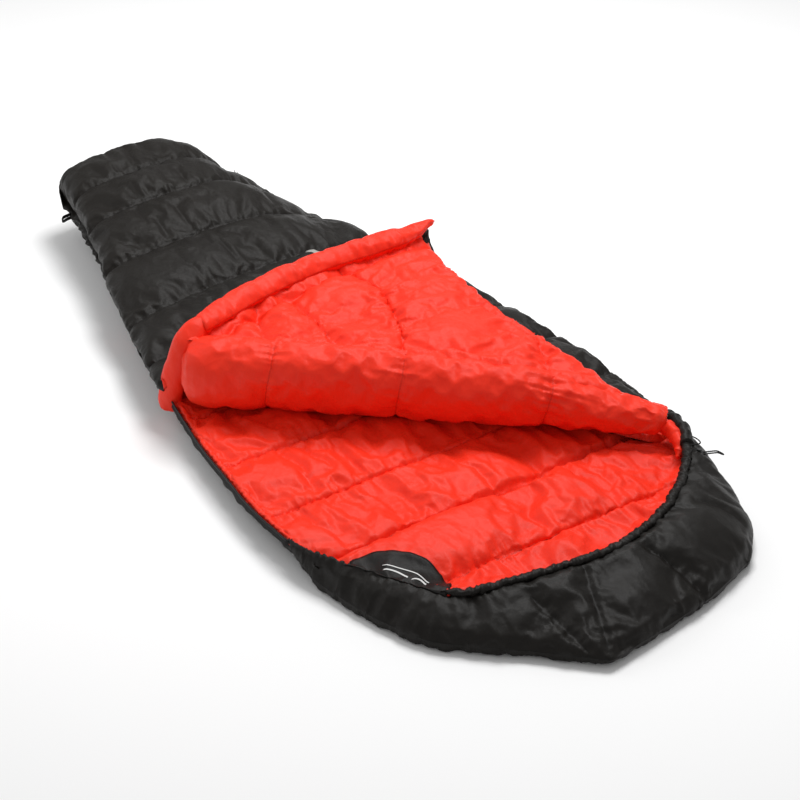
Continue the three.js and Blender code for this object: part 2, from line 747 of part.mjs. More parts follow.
const cordPoint = (along, across, up = 0) =>
  EXIT.clone()
    .addScaledVector(OUTWARDS, along)
    .addScaledVector(SIDEWAYS, across)
    .add(new THREE.Vector3(0, 0, up));

function buildDrawcord(hood) {
  const rim = HOOD_RIM.map(([x, y], j) => {
    const inwards = plan(700, 20).sub(plan(x, y)).normalize();
    const inset = j === HOOD_RIM.length - 1 ? CHANNEL.inset * 1.3 : CHANNEL.inset;
    return new THREE.Vector3(x + inwards.x * inset, y + inwards.y * inset, CHANNEL.height);
  });
  const channel = rim.slice(0, -1);
  const bore = CHANNEL.bore / CHANNEL.radius;
  piece(hood, "hood_rim_channel", tube(channel, CHANNEL.radius, CHANNEL.radius, bore, 10), COLORS.shell);
  const turn = [0, 30, 60, 90, 120, 150, 180].map((degrees) => {
    const t = THREE.MathUtils.degToRad(degrees);
    return cordPoint(STRANDS.length + 9 * Math.sin(t), -STRANDS.apart * Math.cos(t));
  });
  const cord = [
    rim[0].clone().lerp(rim[1], 0.05),
    ...rim.slice(1, -1),
    cordPoint(-6, -STRANDS.apart),
    cordPoint(4, -STRANDS.apart),
    ...turn,
    cordPoint(4, STRANDS.apart),
  ];
  piece(hood, "hood_drawcord", tube(cord, CORD_RADIUS, CORD_RADIUS, 0, 6), COLORS.trim);
}

// Cord lock: a barrel with a sprung plunger; both strands run through the two.
const LOCK = { along: 22, depth: 12, width: 18, below: 11, above: 5, travel: 4 };

function buildCordLock(root) {
  const frame = new THREE.Group();
  frame.position.copy(cordPoint(LOCK.along, 0));
  frame.rotation.z = Math.atan2(OUTWARDS.y, OUTWARDS.x);
  const { depth, width, below, above, travel } = LOCK;
  const strandHoles = [-1, 1].map((side) => {
    const hole = new THREE.CylinderGeometry(2.1, 2.1, depth + 2, 12);
    hole.rotateZ(Math.PI / 2);
    hole.translate(0, side * STRANDS.apart, 0);
    return hole;
  });
  const shaftRadius = 4.8;
  const well = new THREE.CylinderGeometry(shaftRadius + 0.4, shaftRadius + 0.4, 30, 20);
  well.rotateX(Math.PI / 2);
  well.translate(0, 0, 15 - below + 1.6);
  const shell = block(-depth / 2, depth / 2, -width / 2, width / 2, -below, above);
  piece(frame, "cord_lock", cut(shell, ...strandHoles, well), COLORS.trim);

  const shaft = new THREE.CylinderGeometry(shaftRadius, shaftRadius, 15, 20);
  shaft.rotateX(Math.PI / 2);
  shaft.translate(0, 0, 4);
  const head = new THREE.CylinderGeometry(5.6, 5.6, 3, 20);
  head.rotateX(Math.PI / 2);
  head.translate(0, 0, above + travel + 2);
  const notches = [-1, 1].map((side) => {
    const [from, to] = side < 0 ? [-6, -1.5] : [1.5, 6];
    return block(-depth, depth, from, to, -2.1, 2.1 + travel);
  });
  piece(frame, "cord_button", cut(join(shaft, head), ...notches), COLORS.trim);

  const turns = 3;
  const springPoints = Array.from({ length: turns * 8 + 1 }, (_, k) => {
    const t = (2 * Math.PI * k) / 8;
    return new THREE.Vector3(3 * Math.cos(t), 3 * Math.sin(t), lerp(-8.4, -4.6, k / (turns * 8)));
  });
  piece(frame, "cord_lock_spring", tube(springPoints, 0.35, 0.35, 0, 5), COLORS.metal);
  root.add(frame);
}

function buildHood() {
  const hood = new THREE.Group();
  buildHoodBase(hood);
  buildHoodPanels(hood);
  buildDrawcord(hood);
  return hood;
}

// ---- Assembly ----

const bag = new THREE.Group();
buildBack(bag);
buildTop(bag);
buildFootbox(bag);
buildSeams(bag);
buildPatch(bag);
buildSliders(bag);
buildLoops(bag);
bag.add(buildFlap());
const hood = buildHood();
buildCordLock(hood);
bag.add(hood);

export default bag;
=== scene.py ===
"""Looks of the mummy sleeping bag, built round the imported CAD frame. Metres.

+X runs from the foot to the hood, +Y away from the zip, +Z up.
"""

import math

import bmesh
import bpy
import numpy as np
from mathutils import Matrix, Vector
from mathutils.bvhtree import BVHTree
from mathutils.geometry import delaunay_2d_cdt


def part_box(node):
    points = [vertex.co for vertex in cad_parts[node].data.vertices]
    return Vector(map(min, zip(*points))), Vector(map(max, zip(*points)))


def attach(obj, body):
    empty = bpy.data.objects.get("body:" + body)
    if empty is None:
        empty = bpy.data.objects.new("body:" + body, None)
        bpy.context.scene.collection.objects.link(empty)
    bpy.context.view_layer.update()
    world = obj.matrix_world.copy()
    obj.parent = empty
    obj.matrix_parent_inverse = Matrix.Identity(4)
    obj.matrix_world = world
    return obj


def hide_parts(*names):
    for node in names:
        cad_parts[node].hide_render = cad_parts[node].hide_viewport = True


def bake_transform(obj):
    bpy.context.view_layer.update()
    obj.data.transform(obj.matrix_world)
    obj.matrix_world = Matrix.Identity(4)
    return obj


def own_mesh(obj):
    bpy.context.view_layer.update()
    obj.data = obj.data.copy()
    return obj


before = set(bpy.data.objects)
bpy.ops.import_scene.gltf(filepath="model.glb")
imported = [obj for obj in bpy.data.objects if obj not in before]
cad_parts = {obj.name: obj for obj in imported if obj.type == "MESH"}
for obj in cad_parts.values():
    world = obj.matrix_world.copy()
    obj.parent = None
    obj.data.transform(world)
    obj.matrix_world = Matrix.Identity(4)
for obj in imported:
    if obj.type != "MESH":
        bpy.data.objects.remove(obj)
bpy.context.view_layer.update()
SCENE = bpy.context.scene

# ---- Plan of the bag ----

STATIONS = [-1.04, -0.74, -0.56, -0.13, 0.09, 0.33, 0.50, 0.62, 0.75, 0.845]
HALF_WIDTHS = [0.218, 0.270, 0.322, 0.415, 0.450, 0.467, 0.460, 0.446, 0.420, 0.378]
SIDE_WALL = 0.045  # cloth that each quilt has beyond its half width, to round over at its edge
FOOT_X = -1.088
TOP_SEAMS = [(-0.948, -0.972), (-0.808, -0.832), (-0.623, -0.647), (-0.39, -0.47),
             (-0.215, -0.275), (-0.06, -0.06), (0.11, 0.11), (0.30, 0.30)]  # near and far end
BACK_SEAMS = [-0.82, -0.62, -0.43, -0.24, -0.05, 0.14, 0.34]
NECK_RIB = (0.574, 0.499)  # the back quilt's last seam, near and far end

FOLD_A = np.array([-0.13, -0.415])
FOLD_C = np.array([0.58, 0.405])
FOLD_Z = 0.145
FOLD_LENGTH = float(np.linalg.norm(FOLD_C - FOLD_A))
FOLD_ALONG = (FOLD_C - FOLD_A) / FOLD_LENGTH
FOLD_OUT = np.array([FOLD_ALONG[1], -FOLD_ALONG[0]])  # towards the head
FLAP_TURN = math.radians(-179)
NECK_NEAR = 0.62
NECK_FAR = 0.574
NECK_DIP = 0.07

_fine = np.linspace(-1.10, 0.90, 401)
_raw = np.interp(_fine, STATIONS, HALF_WIDTHS)
_pad = np.concatenate([np.full(14, _raw[0]), _raw, np.full(14, _raw[-1])])
_window = np.hanning(31)[1:-1]
_smooth = np.convolve(_pad, _window / _window.sum(), "valid")


def half_width(x):
    return np.interp(x, _fine, _smooth)


def sheet_half(x):
    """Half width of a quilt's flat cloth."""
    return half_width(x) + SIDE_WALL


def mix(a, b, t):
    return a + (b - a) * t


def ramp(x, start, end):
    t = np.clip((x - start) / (end - start), 0, 1)
    return t * t * (3 - 2 * t)


NOISE_TABLE = (97, 89)


def noise(u, v, seed):
    """Smooth noise from -1 to 1, one lump per unit."""
    rows, columns = NOISE_TABLE
    table = np.random.default_rng(seed).uniform(-1, 1, NOISE_TABLE)
    u, v = np.broadcast_arrays(u, v)
    iu, iv = np.floor(u).astype(int), np.floor(v).astype(int)
    fu, fv = u - iu, v - iv
    fu, fv = fu * fu * (3 - 2 * fu), fv * fv * (3 - 2 * fv)

    def at(a, b):
        return table[a % rows, b % columns]

    low = mix(at(iu, iv), at(iu + 1, iv), fu)
    return mix(low, mix(at(iu, iv + 1), at(iu + 1, iv + 1), fu), fv)


def ridged(u, v, seed, power=0.7):
    """Noise with crisp valleys, about -1 to 1."""
    return 1 - 2 * np.abs(noise(u, v, seed)) ** power


# Cross-section of a rounded quilt: sideways share and height share by arc share.
ROUND_WIDE, ROUND_TALL, ROUND_POWER = 0.36, 0.085, 0.86
_phi = np.linspace(0, math.pi / 2, 200)
_cy, _cz = ROUND_WIDE * np.sin(_phi) ** ROUND_POWER, ROUND_TALL * np.cos(_phi) ** ROUND_POWER
_arc = np.concatenate([[0], np.cumsum(np.hypot(np.diff(_cy), np.diff(_cz)))])
_arc /= _arc[-1]


def sideways(s):
    return np.sign(s) * np.interp(np.abs(s), _arc, _cy / ROUND_WIDE)


def height_share(s):
    return np.interp(np.abs(s), _arc, _cz / ROUND_TALL)


# ---- Mesh building ----


def run_lengths(points):
    """Length along a path at each of its points."""
    return np.concatenate([[0], np.cumsum(np.linalg.norm(np.diff(points, axis=0), axis=1))])


def resample(points, spacing):
    """Points along a polyline about one spacing apart, with its own corners kept."""
    points = np.asarray(points, float)
    out = [points[0]]
    for p in points[1:]:
        step = np.linalg.norm(p - out[-1])
        if step < spacing * 0.6:
            continue
        n = max(1, int(round(step / spacing)))
        out += [mix(out[-1], p, 1 / (n - k)) for k in range(n)]
    return np.array(out)


def to_polyline(points, line):
    """Distance from each point to a polyline, and how far along it the nearest spot is."""
    a, b = line[:-1], line[1:]
    run = np.linalg.norm(b - a, axis=1)
    start = np.concatenate([[0], np.cumsum(run)])[:-1]
    best = np.full(len(points), 1e9)
    along = np.zeros(len(points))
    for k in range(len(a)):
        d = (b[k] - a[k]) / max(run[k], 1e-12)
        t = np.clip((points - a[k]) @ d, 0, run[k])
        away = np.linalg.norm(points - a[k] - t[:, None] * d, axis=1)
        closer = away < best
        best[closer] = away[closer]
        along[closer] = start[k] + t[closer]
    return best, along


def new_mesh(name, verts, faces, materials, indices=None):
    mesh = bpy.data.meshes.new(name)
    mesh.from_pydata([tuple(v) for v in verts], [], [tuple(f) for f in faces])
    for m in materials:
        mesh.materials.append(m)
    if indices is not None:
        mesh.polygons.foreach_set("material_index", np.asarray(indices, np.int32))
    mesh.polygons.foreach_set("use_smooth", [True] * len(mesh.polygons))
    mesh.update()
    obj = bpy.data.objects.new(name, mesh)
    SCENE.collection.objects.link(obj)
    return obj


def vectors(mesh, kind="co"):
    """Every vertex's place, or its normal."""
    out = np.zeros(len(mesh.vertices) * 3)
    mesh.vertices.foreach_get(kind, out)
    return out.reshape(-1, 3)


def set_coords(mesh, co):
    mesh.vertices.foreach_set("co", np.asarray(co, np.float32).ravel())
    mesh.update()


def set_attribute(mesh, name, values):
    layer = mesh.attributes.new(name, "FLOAT", "POINT")
    layer.data.foreach_set("value", np.asarray(values, np.float32))


def get_attribute(mesh, name):
    out = np.zeros(len(mesh.vertices), np.float32)
    mesh.attributes[name].data.foreach_get("value", out)
    return out.astype(float)


SOFT = []
CRUMPLE = 0.0016  # how far the cloth starts off its smooth shape


def quilt(name, outline, seams, upper, lower, materials, spacing=0.010, puff=(0.016, 0.01),
          reach=0.06, seed=1, stretch=0.05, pressure=4.0, cap=0.02, pucker=0.0022, sides=None,
          fix=None, rumple=0.0, pucker_reach=0.028, loose=0.0, scale=None, paint=None):
    """A closed quilt over a plan outline: two sheets joined round the edge and sewn at the seams.

    upper and lower place plan points in space. Between its seams each sheet stands off by
    its puff; the cloth simulation then fills it. fix is called with the final points.
    """
    outline = resample(np.vstack([outline, outline[:1]]), spacing)[:-1]
    seams = [resample(s, spacing) for s in seams]
    edge = np.vstack([outline, outline[:1]])
    rng = np.random.default_rng(seed)
    lo, hi = outline.min(0), outline.max(0)
    fill = []
    for k, y in enumerate(np.arange(lo[1], hi[1], spacing * 0.866)):
        row = np.arange(lo[0] + (k % 2) * spacing / 2, hi[0], spacing)
        fill.append(np.stack([row, np.full(len(row), y)], 1))
    fill = np.concatenate(fill)
    fill += rng.uniform(-0.16, 0.16, fill.shape) * spacing
    clear = np.min([to_polyline(fill, line)[0] for line in [edge] + seams], axis=0)
    fill = fill[clear > spacing * 0.55]
    points = [Vector(p) for p in np.vstack([outline] + seams + [fill])]
    edges, first = [], len(outline)
    for s in seams:
        edges += [(first + k, first + k + 1) for k in range(len(s) - 1)]
        first += len(s)
    made = delaunay_2d_cdt(points, edges, [list(range(len(outline)))], 1, 1e-5)
    plan = np.array([tuple(v) for v in made[0]])
    faces = [list(f) for f in made[2]]
    used = np.unique(np.concatenate([np.array(f) for f in faces]))
    renumber = np.full(len(plan), -1)
    renumber[used] = np.arange(len(used))
    plan = plan[used]
    faces = [[renumber[i] for i in f] for f in faces]

    to_border = to_polyline(plan, edge)[0]
    border = to_border < 1e-4
    lines = (sides if sides is not None else [edge]) + seams
    nearest = [to_polyline(plan, line) for line in lines]
    sewn = np.min([d for d, _ in nearest], axis=0)
    which = np.argmin([d for d, _ in nearest], axis=0)
    along = np.array([nearest[w][1][i] for i, w in enumerate(which)]) + which * 3.7
    on_seam = (sewn < 1e-4) & (noise(along * 34, 0, seed + 2) > loose * 2 - 1)

    n = len(plan)
    twin = np.arange(n)
    inner = np.flatnonzero(~border)
    twin[inner] = n + np.arange(len(inner))
    up, down = upper(plan), lower(plan)
    down[border] = up[border]
    three = np.array([f[:3] for f in faces])
    facing = np.cross(up[three[:, 1]] - up[three[:, 0]], up[three[:, 2]] - up[three[:, 0]])
    if np.sum(facing * (up - down)[three[:, 0]]) < 0:
        faces = [f[::-1] for f in faces]
    verts = np.vstack([up, down[inner]])
    all_faces = faces + [[twin[i] for i in reversed(f)] for f in faces]
    which_side = np.repeat([0, len(materials) - 1], len(faces))
    if paint:
        middles = np.array([plan[f].mean(0) for f in faces])
        which_side = np.where(np.tile(paint(middles), 2), materials.index(BLACK), which_side)
    obj = new_mesh(name, verts, all_faces, materials, which_side)
    mesh = obj.data

    both = lambda values: np.concatenate([values, values[inner]])
    x, y, far, d = both(plan[:, 0]), both(plan[:, 1]), both(along), both(sewn)
    is_lower = np.concatenate([np.zeros(n), np.ones(len(inner))])
    full = np.sqrt(np.clip(1 - (1 - np.clip(d / reach, 0, 1)) ** 2, 0, 1))
    lump = 1 + 0.35 * noise(x * 9, y * 9, seed + 3)
    stand = np.where(is_lower > 0, puff[1], puff[0]) * full * lump
    stand *= ramp(both(to_border), 0, 0.025)
    if scale is not None:
        stand *= both(scale(plan))
    start = vectors(mesh) + vectors(mesh, "normal") * stand[:, None]
    crumple = noise(x * 38, y * 38, seed + 5)
    ripple = noise(far * 55, d * 12, seed + 6) * np.exp(-d / 0.03)
    away = both(to_border) > 1e-4
    start += vectors(mesh, "normal") * (CRUMPLE * (crumple + ripple) * away)[:, None]
    set_coords(mesh, start)
    set_attribute(mesh, "seam_far", d)
    set_attribute(mesh, "seam_along", far)
    set_attribute(mesh, "underside", is_lower)
    side = mesh.attributes.new("side", "INT", "FACE")
    side.data.foreach_set("value", np.repeat([0, 1], len(faces)).astype(np.int32))
    group = obj.vertex_groups.new(name="held")
    group.add([int(i) for i in np.flatnonzero(both(on_seam | border))], 1.0, "REPLACE")
    SOFT.append({"obj": obj, "start": start, "cap": cap, "stretch": stretch, "pressure": pressure,
                 "pucker": pucker, "seed": seed, "fix": fix, "reach": pucker_reach,
                 "rumple": rumple})
    return obj


SIM_FRAMES = 18
CLOTH = {"quality": 4, "mass": 0.12, "tension_stiffness": 12, "compression_stiffness": 12,
         "shear_stiffness": 4, "bending_stiffness": 0.05, "tension_damping": 4,
         "compression_damping": 4, "shear_damping": 4, "air_damping": 3,
         "use_pressure": True, "vertex_group_mass": "held"}


def simulate():
    """Fills every soft piece at once with the cloth solver."""
    for s in SOFT:
        mod = s["obj"].modifiers.new("Cloth", "CLOTH")
        for key, value in CLOTH.items():
            setattr(mod.settings, key, value)
        mod.settings.uniform_pressure_force = s["pressure"]
        mod.settings.shrink_min = -s["stretch"]
        mod.settings.effector_weights.gravity = 0
        mod.point_cache.frame_start = 1
        mod.point_cache.frame_end = SIM_FRAMES
    for f in range(1, SIM_FRAMES + 1):
        SCENE.frame_set(f)
    graph = bpy.context.evaluated_depsgraph_get()
    for s in SOFT:
        s["filled"] = vectors(s["obj"].evaluated_get(graph).data)
    for s in SOFT:
        s["obj"].modifiers.remove(s["obj"].modifiers["Cloth"])
        move = s["filled"] - s["start"]
        size = np.linalg.norm(move, axis=1)
        limit = s["cap"] * np.tanh(size / s["cap"]) / np.maximum(size, 1e-9)
        set_coords(s["obj"].data, s["start"] + move * limit[:, None])
    SCENE.frame_set(1)


def creased(co):
    """Soft folds with crisp valleys, running a little along the bag; about -1 to 1."""
    x = co[:, 0] + 0.02 * noise(co[:, 0] * 14, co[:, 1] * 14, 91)
    y = co[:, 1] + 0.02 * noise(co[:, 0] * 14, co[:, 1] * 14, 92)
    broad = ridged(x * 15 + y * 5, y * 26 - x * 8, 93, 0.6)
    return broad + 0.45 * ridged(x * 41 - y * 12, y * 52 + x * 20, 94)


def sharpen_edge(mesh):
    """Keeps the two sheets' shading apart where they are joined."""
    side = np.zeros(len(mesh.polygons), np.int32)
    mesh.attributes["side"].data.foreach_get("value", side)
    size = np.zeros(len(mesh.polygons), np.int32)
    mesh.polygons.foreach_get("loop_total", size)
    edge = np.zeros(len(mesh.loops), np.int32)
    mesh.loops.foreach_get("edge_index", edge)
    seen = np.zeros((2, len(mesh.edges)), bool)
    seen[np.repeat(side, size), edge] = True
    mesh.edges.foreach_set("use_edge_sharp", seen[0] & seen[1])


def finish_soft():
    """One subdivision, then the small puckers that run out from each row of stitches."""
    for s in SOFT:
        obj = s["obj"]
        sub = obj.modifiers.new("Smooth", "SUBSURF")
        sub.levels = sub.render_levels = 1
        sub.boundary_smooth = "PRESERVE_CORNERS"
        graph = bpy.context.evaluated_depsgraph_get()
        mesh = bpy.data.meshes.new_from_object(obj.evaluated_get(graph))
        obj.modifiers.clear()
        obj.data = mesh
        d = get_attribute(mesh, "seam_far")
        a = get_attribute(mesh, "seam_along")
        co = vectors(mesh)
        gather = ridged(a * 58, d * 9, s["seed"] + 11)
        gather += 0.5 * noise(a * 125, d * 16, s["seed"] + 12)
        size = s["pucker"] * np.exp(-d / s["reach"]) * np.clip(d / 0.004, 0.1, 1)
        size *= 0.6 + 0.5 * noise(a * 9, 0, s["seed"] + 14)
        rough = s["rumple"] * creased(co)
        co = co + vectors(mesh, "normal") * (gather * size + rough)[:, None]
        if s["fix"]:
            co = s["fix"](co, get_attribute(mesh, "underside") > 0.5)
        set_coords(mesh, co)
        sharpen_edge(mesh)


DROOP = 0.030  # how far the flap sinks by the far end of its fold
DROOP_REACH = 0.36


def droop(co):
    to_end = np.hypot(co[:, 0] - FOLD_C[0], co[:, 1] - FOLD_C[1])
    return DROOP * ramp(DROOP_REACH - to_end, 0, DROOP_REACH)


def about_fold(co, angle):
    """Points turned about the fold line."""
    turn = Matrix.Rotation(angle, 4, Vector((*FOLD_ALONG, 0)))
    pivot = Vector((*FOLD_A, FOLD_Z))
    full = np.array(Matrix.Translation(pivot) @ turn @ Matrix.Translation(-pivot))
    return np.asarray(co, float) @ full[:3, :3].T + full[:3, 3]


def turned_back(co):
    """Where points of the shut flap lie once the flap is folded back."""
    out = about_fold(co, FLAP_TURN)
    out[:, 2] -= droop(out)
    return out


# ---- Materials ----


class Shader:
    """A new material and short ways to add nodes to it."""

    def __init__(self, name):
        self.material = bpy.data.materials.new(name)
        self.material.use_nodes = True
        self.nodes = self.material.node_tree.nodes
        self.place = self.add("TexCoord")["Object"]

    def put(self, inputs, values):
        for key, value in values.items():
            if hasattr(value, "is_linked"):
                self.material.node_tree.links.new(value, inputs[key])
            else:
                inputs[key].default_value = value

    def add(self, kind, values=None, **settings):
        node = self.nodes.new("ShaderNode" + kind)
        for key, value in settings.items():
            setattr(node, key, value)
        self.put(node.inputs, values or {})
        return node.outputs

    def mixed(self, factor, a, b):
        a, b = (c if hasattr(c, "is_linked") else (*c, 1) for c in (a, b))
        return self.add("Mix", {"Factor": factor, "A": a, "B": b}, data_type="RGBA")["Result"]

    def maths(self, kind, a, b=0.0):
        return self.add("Math", {0: a, 1: b}, operation=kind)[0]

    def times(self, a, b):
        return self.maths("MULTIPLY", a, b)

    def noise(self, scale, detail=4.0, roughness=0.55):
        return self.add("TexNoise", {"Scale": scale, "Detail": detail, "Roughness": roughness,
                                     "Vector": self.place})["Fac"]

    def wave(self, scale, distortion, direction="X"):
        return self.add("TexWave", {"Scale": scale, "Distortion": distortion,
                                    "Vector": self.place}, bands_direction=direction)["Fac"]

    def spread(self, value, low, high):
        return self.add("MapRange", {"Value": value, "To Min": low, "To Max": high})[0]

    def bump(self, height, distance, strength, **under):
        return self.add("Bump", {"Height": height, "Distance": distance, "Strength": strength,
                                 **under})[0]

    def squares(self, pitch, width):
        """1 on a square grid of thin lines, the reinforcing threads of a ripstop weave."""
        split = self.add("SeparateXYZ", {0: self.place})
        lines = [self.maths("LESS_THAN", self.maths("FRACT", self.times(axis, 1 / pitch)), width)
                 for axis in (split[0], split[1])]
        return self.maths("MAXIMUM", *lines)

    def finish(self, values):
        self.put(self.nodes["Principled BSDF"].inputs, values)
        return self.material


RIPSTOP = (0.0052, 0.10)  # pitch of the squares, share of it that is thread
STITCH_WIDE = 0.0016  # half width of a stitched line
STITCH_SHARE = 0.68  # of each stitch's pitch, 260 to the metre


def fabric(name, dark, light, roughness, specular, wrinkle=1.0):
    """Downproof nylon: fine weave, faint ripstop squares, soft creases, rows of stitches."""
    s = Shader(name)
    squares = s.squares(*RIPSTOP)
    shade = s.mixed(s.times(squares, 0.10), s.mixed(s.noise(7.0, 3.0), dark, light),
                    tuple(min(1, 1.5 * c + 0.01) for c in light))
    line = s.maths("LESS_THAN", s.add("Attribute", attribute_name="seam_far")["Fac"], STITCH_WIDE)
    along = s.add("Attribute", attribute_name="seam_along")["Fac"]
    dash = s.maths("LESS_THAN", s.maths("FRACT", s.times(along, 260.0)), STITCH_SHARE)
    shade = s.mixed(s.times(s.times(line, dash), 0.75), shade, tuple(0.65 * c for c in dark))
    ridge = s.maths("ABSOLUTE", s.maths("SUBTRACT", s.noise(17.0, 2.0, 0.45), 0.5))
    crease = s.maths("ADD", s.times(ridge, -4.5), s.noise(70.0, 3.0, 0.5))
    weave = s.maths("ADD", s.times(squares, 0.5), s.wave(420.0, 0.6))
    folds = s.bump(crease, 0.0035, 0.34 * wrinkle)
    return s.finish({
        "Base Color": shade,
        "Roughness": s.spread(s.noise(46.0, 5.0, 0.6), roughness - 0.07, roughness + 0.09),
        "Specular IOR Level": specular,
        "Normal": s.bump(weave, 0.0004, 0.25, Normal=folds)})


BLACK = fabric("shell_nylon", (0.0075, 0.0060, 0.0048), (0.0115, 0.0095, 0.0075), 0.42, 0.16)
RED = fabric("lining_nylon", (0.84, 0.026, 0.008), (0.93, 0.038, 0.014), 0.42, 0.20)
PANEL = fabric("hood_panel_nylon", (0.0070, 0.0058, 0.0048), (0.0100, 0.0085, 0.0070), 0.43,
               0.17, wrinkle=0.7)


def webbing(name, colour, lighter, pitch=0.0016):
    """A close woven tape: fine diagonal ribs that catch a little light."""
    s = Shader(name)
    ribs = s.wave(1 / pitch / 6.0, 0.8, "DIAGONAL")
    return s.finish({"Base Color": s.mixed(s.times(ribs, s.noise(900.0, 2.0)), colour, lighter),
                     "Roughness": 0.72, "Specular IOR Level": 0.25,
                     "Normal": s.bump(ribs, 0.0006, 0.6)})


def moulded(name, colour, roughness, metal=0.0):
    """Moulded plastic or plated metal: faint mottling and fine scratches."""
    s = Shader(name)
    mottle = s.noise(320.0, 3.0)
    return s.finish({"Base Color": s.mixed(mottle, tuple(0.8 * c for c in colour),
                                           tuple(min(1, 1.15 * c) for c in colour)),
                     "Roughness": s.spread(s.noise(1400.0, 4.0), roughness - 0.06,
                                           roughness + 0.12),
                     "Metallic": metal, "Normal": s.bump(mottle, 0.0002, 0.3)})


TAPE = webbing("zip_tape_weave", (0.006, 0.006, 0.006), (0.022, 0.021, 0.020))
CORD = webbing("braided_cord", (0.007, 0.007, 0.007), (0.035, 0.033, 0.030), 0.0011)
PIPING = webbing("pale_piping", (0.20, 0.19, 0.17), (0.34, 0.33, 0.30), 0.0011)
LABEL = webbing("pale_label", (0.30, 0.29, 0.27), (0.52, 0.51, 0.48), 0.0009)
PLASTIC = moulded("zip_plastic", (0.012, 0.012, 0.012), 0.42)
METAL = moulded("plated_metal", (0.62, 0.63, 0.64), 0.30, 1.0)
PRINT = moulded("pale_print", (0.70, 0.70, 0.69), 0.55)

# ---- The closed half: top quilt, back quilt, footbox ----

EDGE_Z = 0.071
BACK_EDGE_Z = 0.055


def foot_rise(x):
    return 0.060 * ramp(-x, 0.35, 1.04)


def side_share(p):
    """How far a plan point is from the middle, as a share of the quilt's developed width."""
    return p[:, 1] / sheet_half(p[:, 0])


def top_base(p):
    s = side_share(p)
    x = p[:, 0]
    foot = ramp(-x, 1.0, 1.076)
    beside_flap = ramp(x, -0.25, 0.15) * ramp(s, 0.2, 0.8)
    crest = 0.138 + foot_rise(x) - 0.006 * foot - 0.046 * beside_flap
    near = mix(0.66, 0.26, ramp(-x, 0.35, 1.0))
    far = mix(1.5, 4.4, ramp(-x, 0.35, 1.0))
    share = height_share(s) ** mix(near, far, ramp(s, -0.15, 0.25))
    y = half_width(x) * sideways(s)
    steep = np.sin(math.pi * np.clip(share, 0, 1)) * ramp(np.abs(s), 0.4, 0.8)
    y += np.where(s < 0, -0.032 * ramp(-x, -0.1, 0.2), 0.0) * steep
    bow = 0.014 * (1 - s * s) * foot
    return np.stack([x - bow, y, mix(EDGE_Z, crest, share) - droop(np.stack([x, y], 1))], 1)


def fold_distance(x, y):
    """How far a spot is behind the fold line, measured towards the foot."""
    return -((x - FOLD_A[0]) * FOLD_OUT[0] + (y - FOLD_A[1]) * FOLD_OUT[1])


def top_upper(p):
    out = top_base(p)
    back = np.clip(fold_distance(out[:, 0], out[:, 1]), 0, 0.05) / 0.05
    out[:, 2] = mix(np.minimum(out[:, 2], 0.128), out[:, 2], back)
    return out


def top_lower(p):
    out = top_base(p)
    s = side_share(p)
    inner = 0.080 + 0.8 * foot_rise(p[:, 0])
    out[:, 2] = np.minimum(mix(EDGE_Z, inner, height_share(s) ** 0.7), out[:, 2])
    back = np.clip(fold_distance(out[:, 0], out[:, 1]), 0, 0.03) / 0.03
    out[:, 2] = mix(np.full(len(p), 0.120), out[:, 2], np.sqrt(back))
    return out


def developed(x, y):
    """Plan point whose place on the rounded quilt is at x, y."""
    w = half_width(x)
    share = np.interp(abs(y) / w, _cy / ROUND_WIDE, _arc)
    return math.copysign(share * (w + SIDE_WALL), y)


def foot_end():
    """The plan outline along the foot, from the near side to the far side."""
    reach = sheet_half(FOOT_X)
    return [(FOOT_X, y) for y in np.linspace(-reach, reach, 12)[1:-1]]


def top_outline():
    far = [(x, sheet_half(x)) for x in np.linspace(FOOT_X, FOLD_C[0] - 0.01, 40)]
    fold = []
    for t in np.linspace(0, 1, 60)[1:-1]:
        x, y = mix(FOLD_C, FOLD_A, t)
        fold.append((x, developed(x, y * 0.999)))
    near = [(x, -sheet_half(x)) for x in np.linspace(FOLD_A[0], FOOT_X, 30)]
    return np.array(far + fold + near + foot_end())


def across(x_near, x_far):
    """A seam across the top quilt, stopping at the fold line."""
    points = []
    for v in np.linspace(0, 1, 60):
        x = mix(x_near, x_far, v)
        width = sheet_half(x) - 0.003
        b = mix(-width, width, v)
        y = half_width(x) * float(sideways(b / sheet_half(x)))
        if fold_distance(x, y) > 0.004:
            points.append((x, b))
    return np.array(points)


def under_flap(co):
    """1 where the turned-back flap lies on the top quilt, falling to 0 outside it."""
    shut = about_fold(co, -FLAP_TURN)
    inside_near = shut[:, 1] + half_width(shut[:, 0])
    return ramp(inside_near, -0.035, 0.02) * ramp(-fold_distance(shut[:, 0], shut[:, 1]), 0, 0.03)


PRESSED_Z = 0.1425  # the top quilt is no higher than this under the flap
FREE_Z = 0.30
LINING_Z = 0.068  # where the top quilt's lining meets the back quilt's


def fix_top(co, lower):
    ceiling = mix(FREE_Z, PRESSED_Z - droop(co), under_flap(co))
    co[:, 2] = np.where(lower, np.maximum(co[:, 2], LINING_Z), np.minimum(co[:, 2], ceiling))
    return co


def closed_edge(middles):
    """Where the outside edge is black shell instead of lining, because the bag stays shut."""
    x, share = middles[:, 0], np.abs(side_share(middles))
    shut = np.where(middles[:, 1] < 0, x < -0.14, x < 0.45)
    return ((share > 0.90) & shut) | (x < -1.0) | ((share > 0.955) & (x > 0.48))


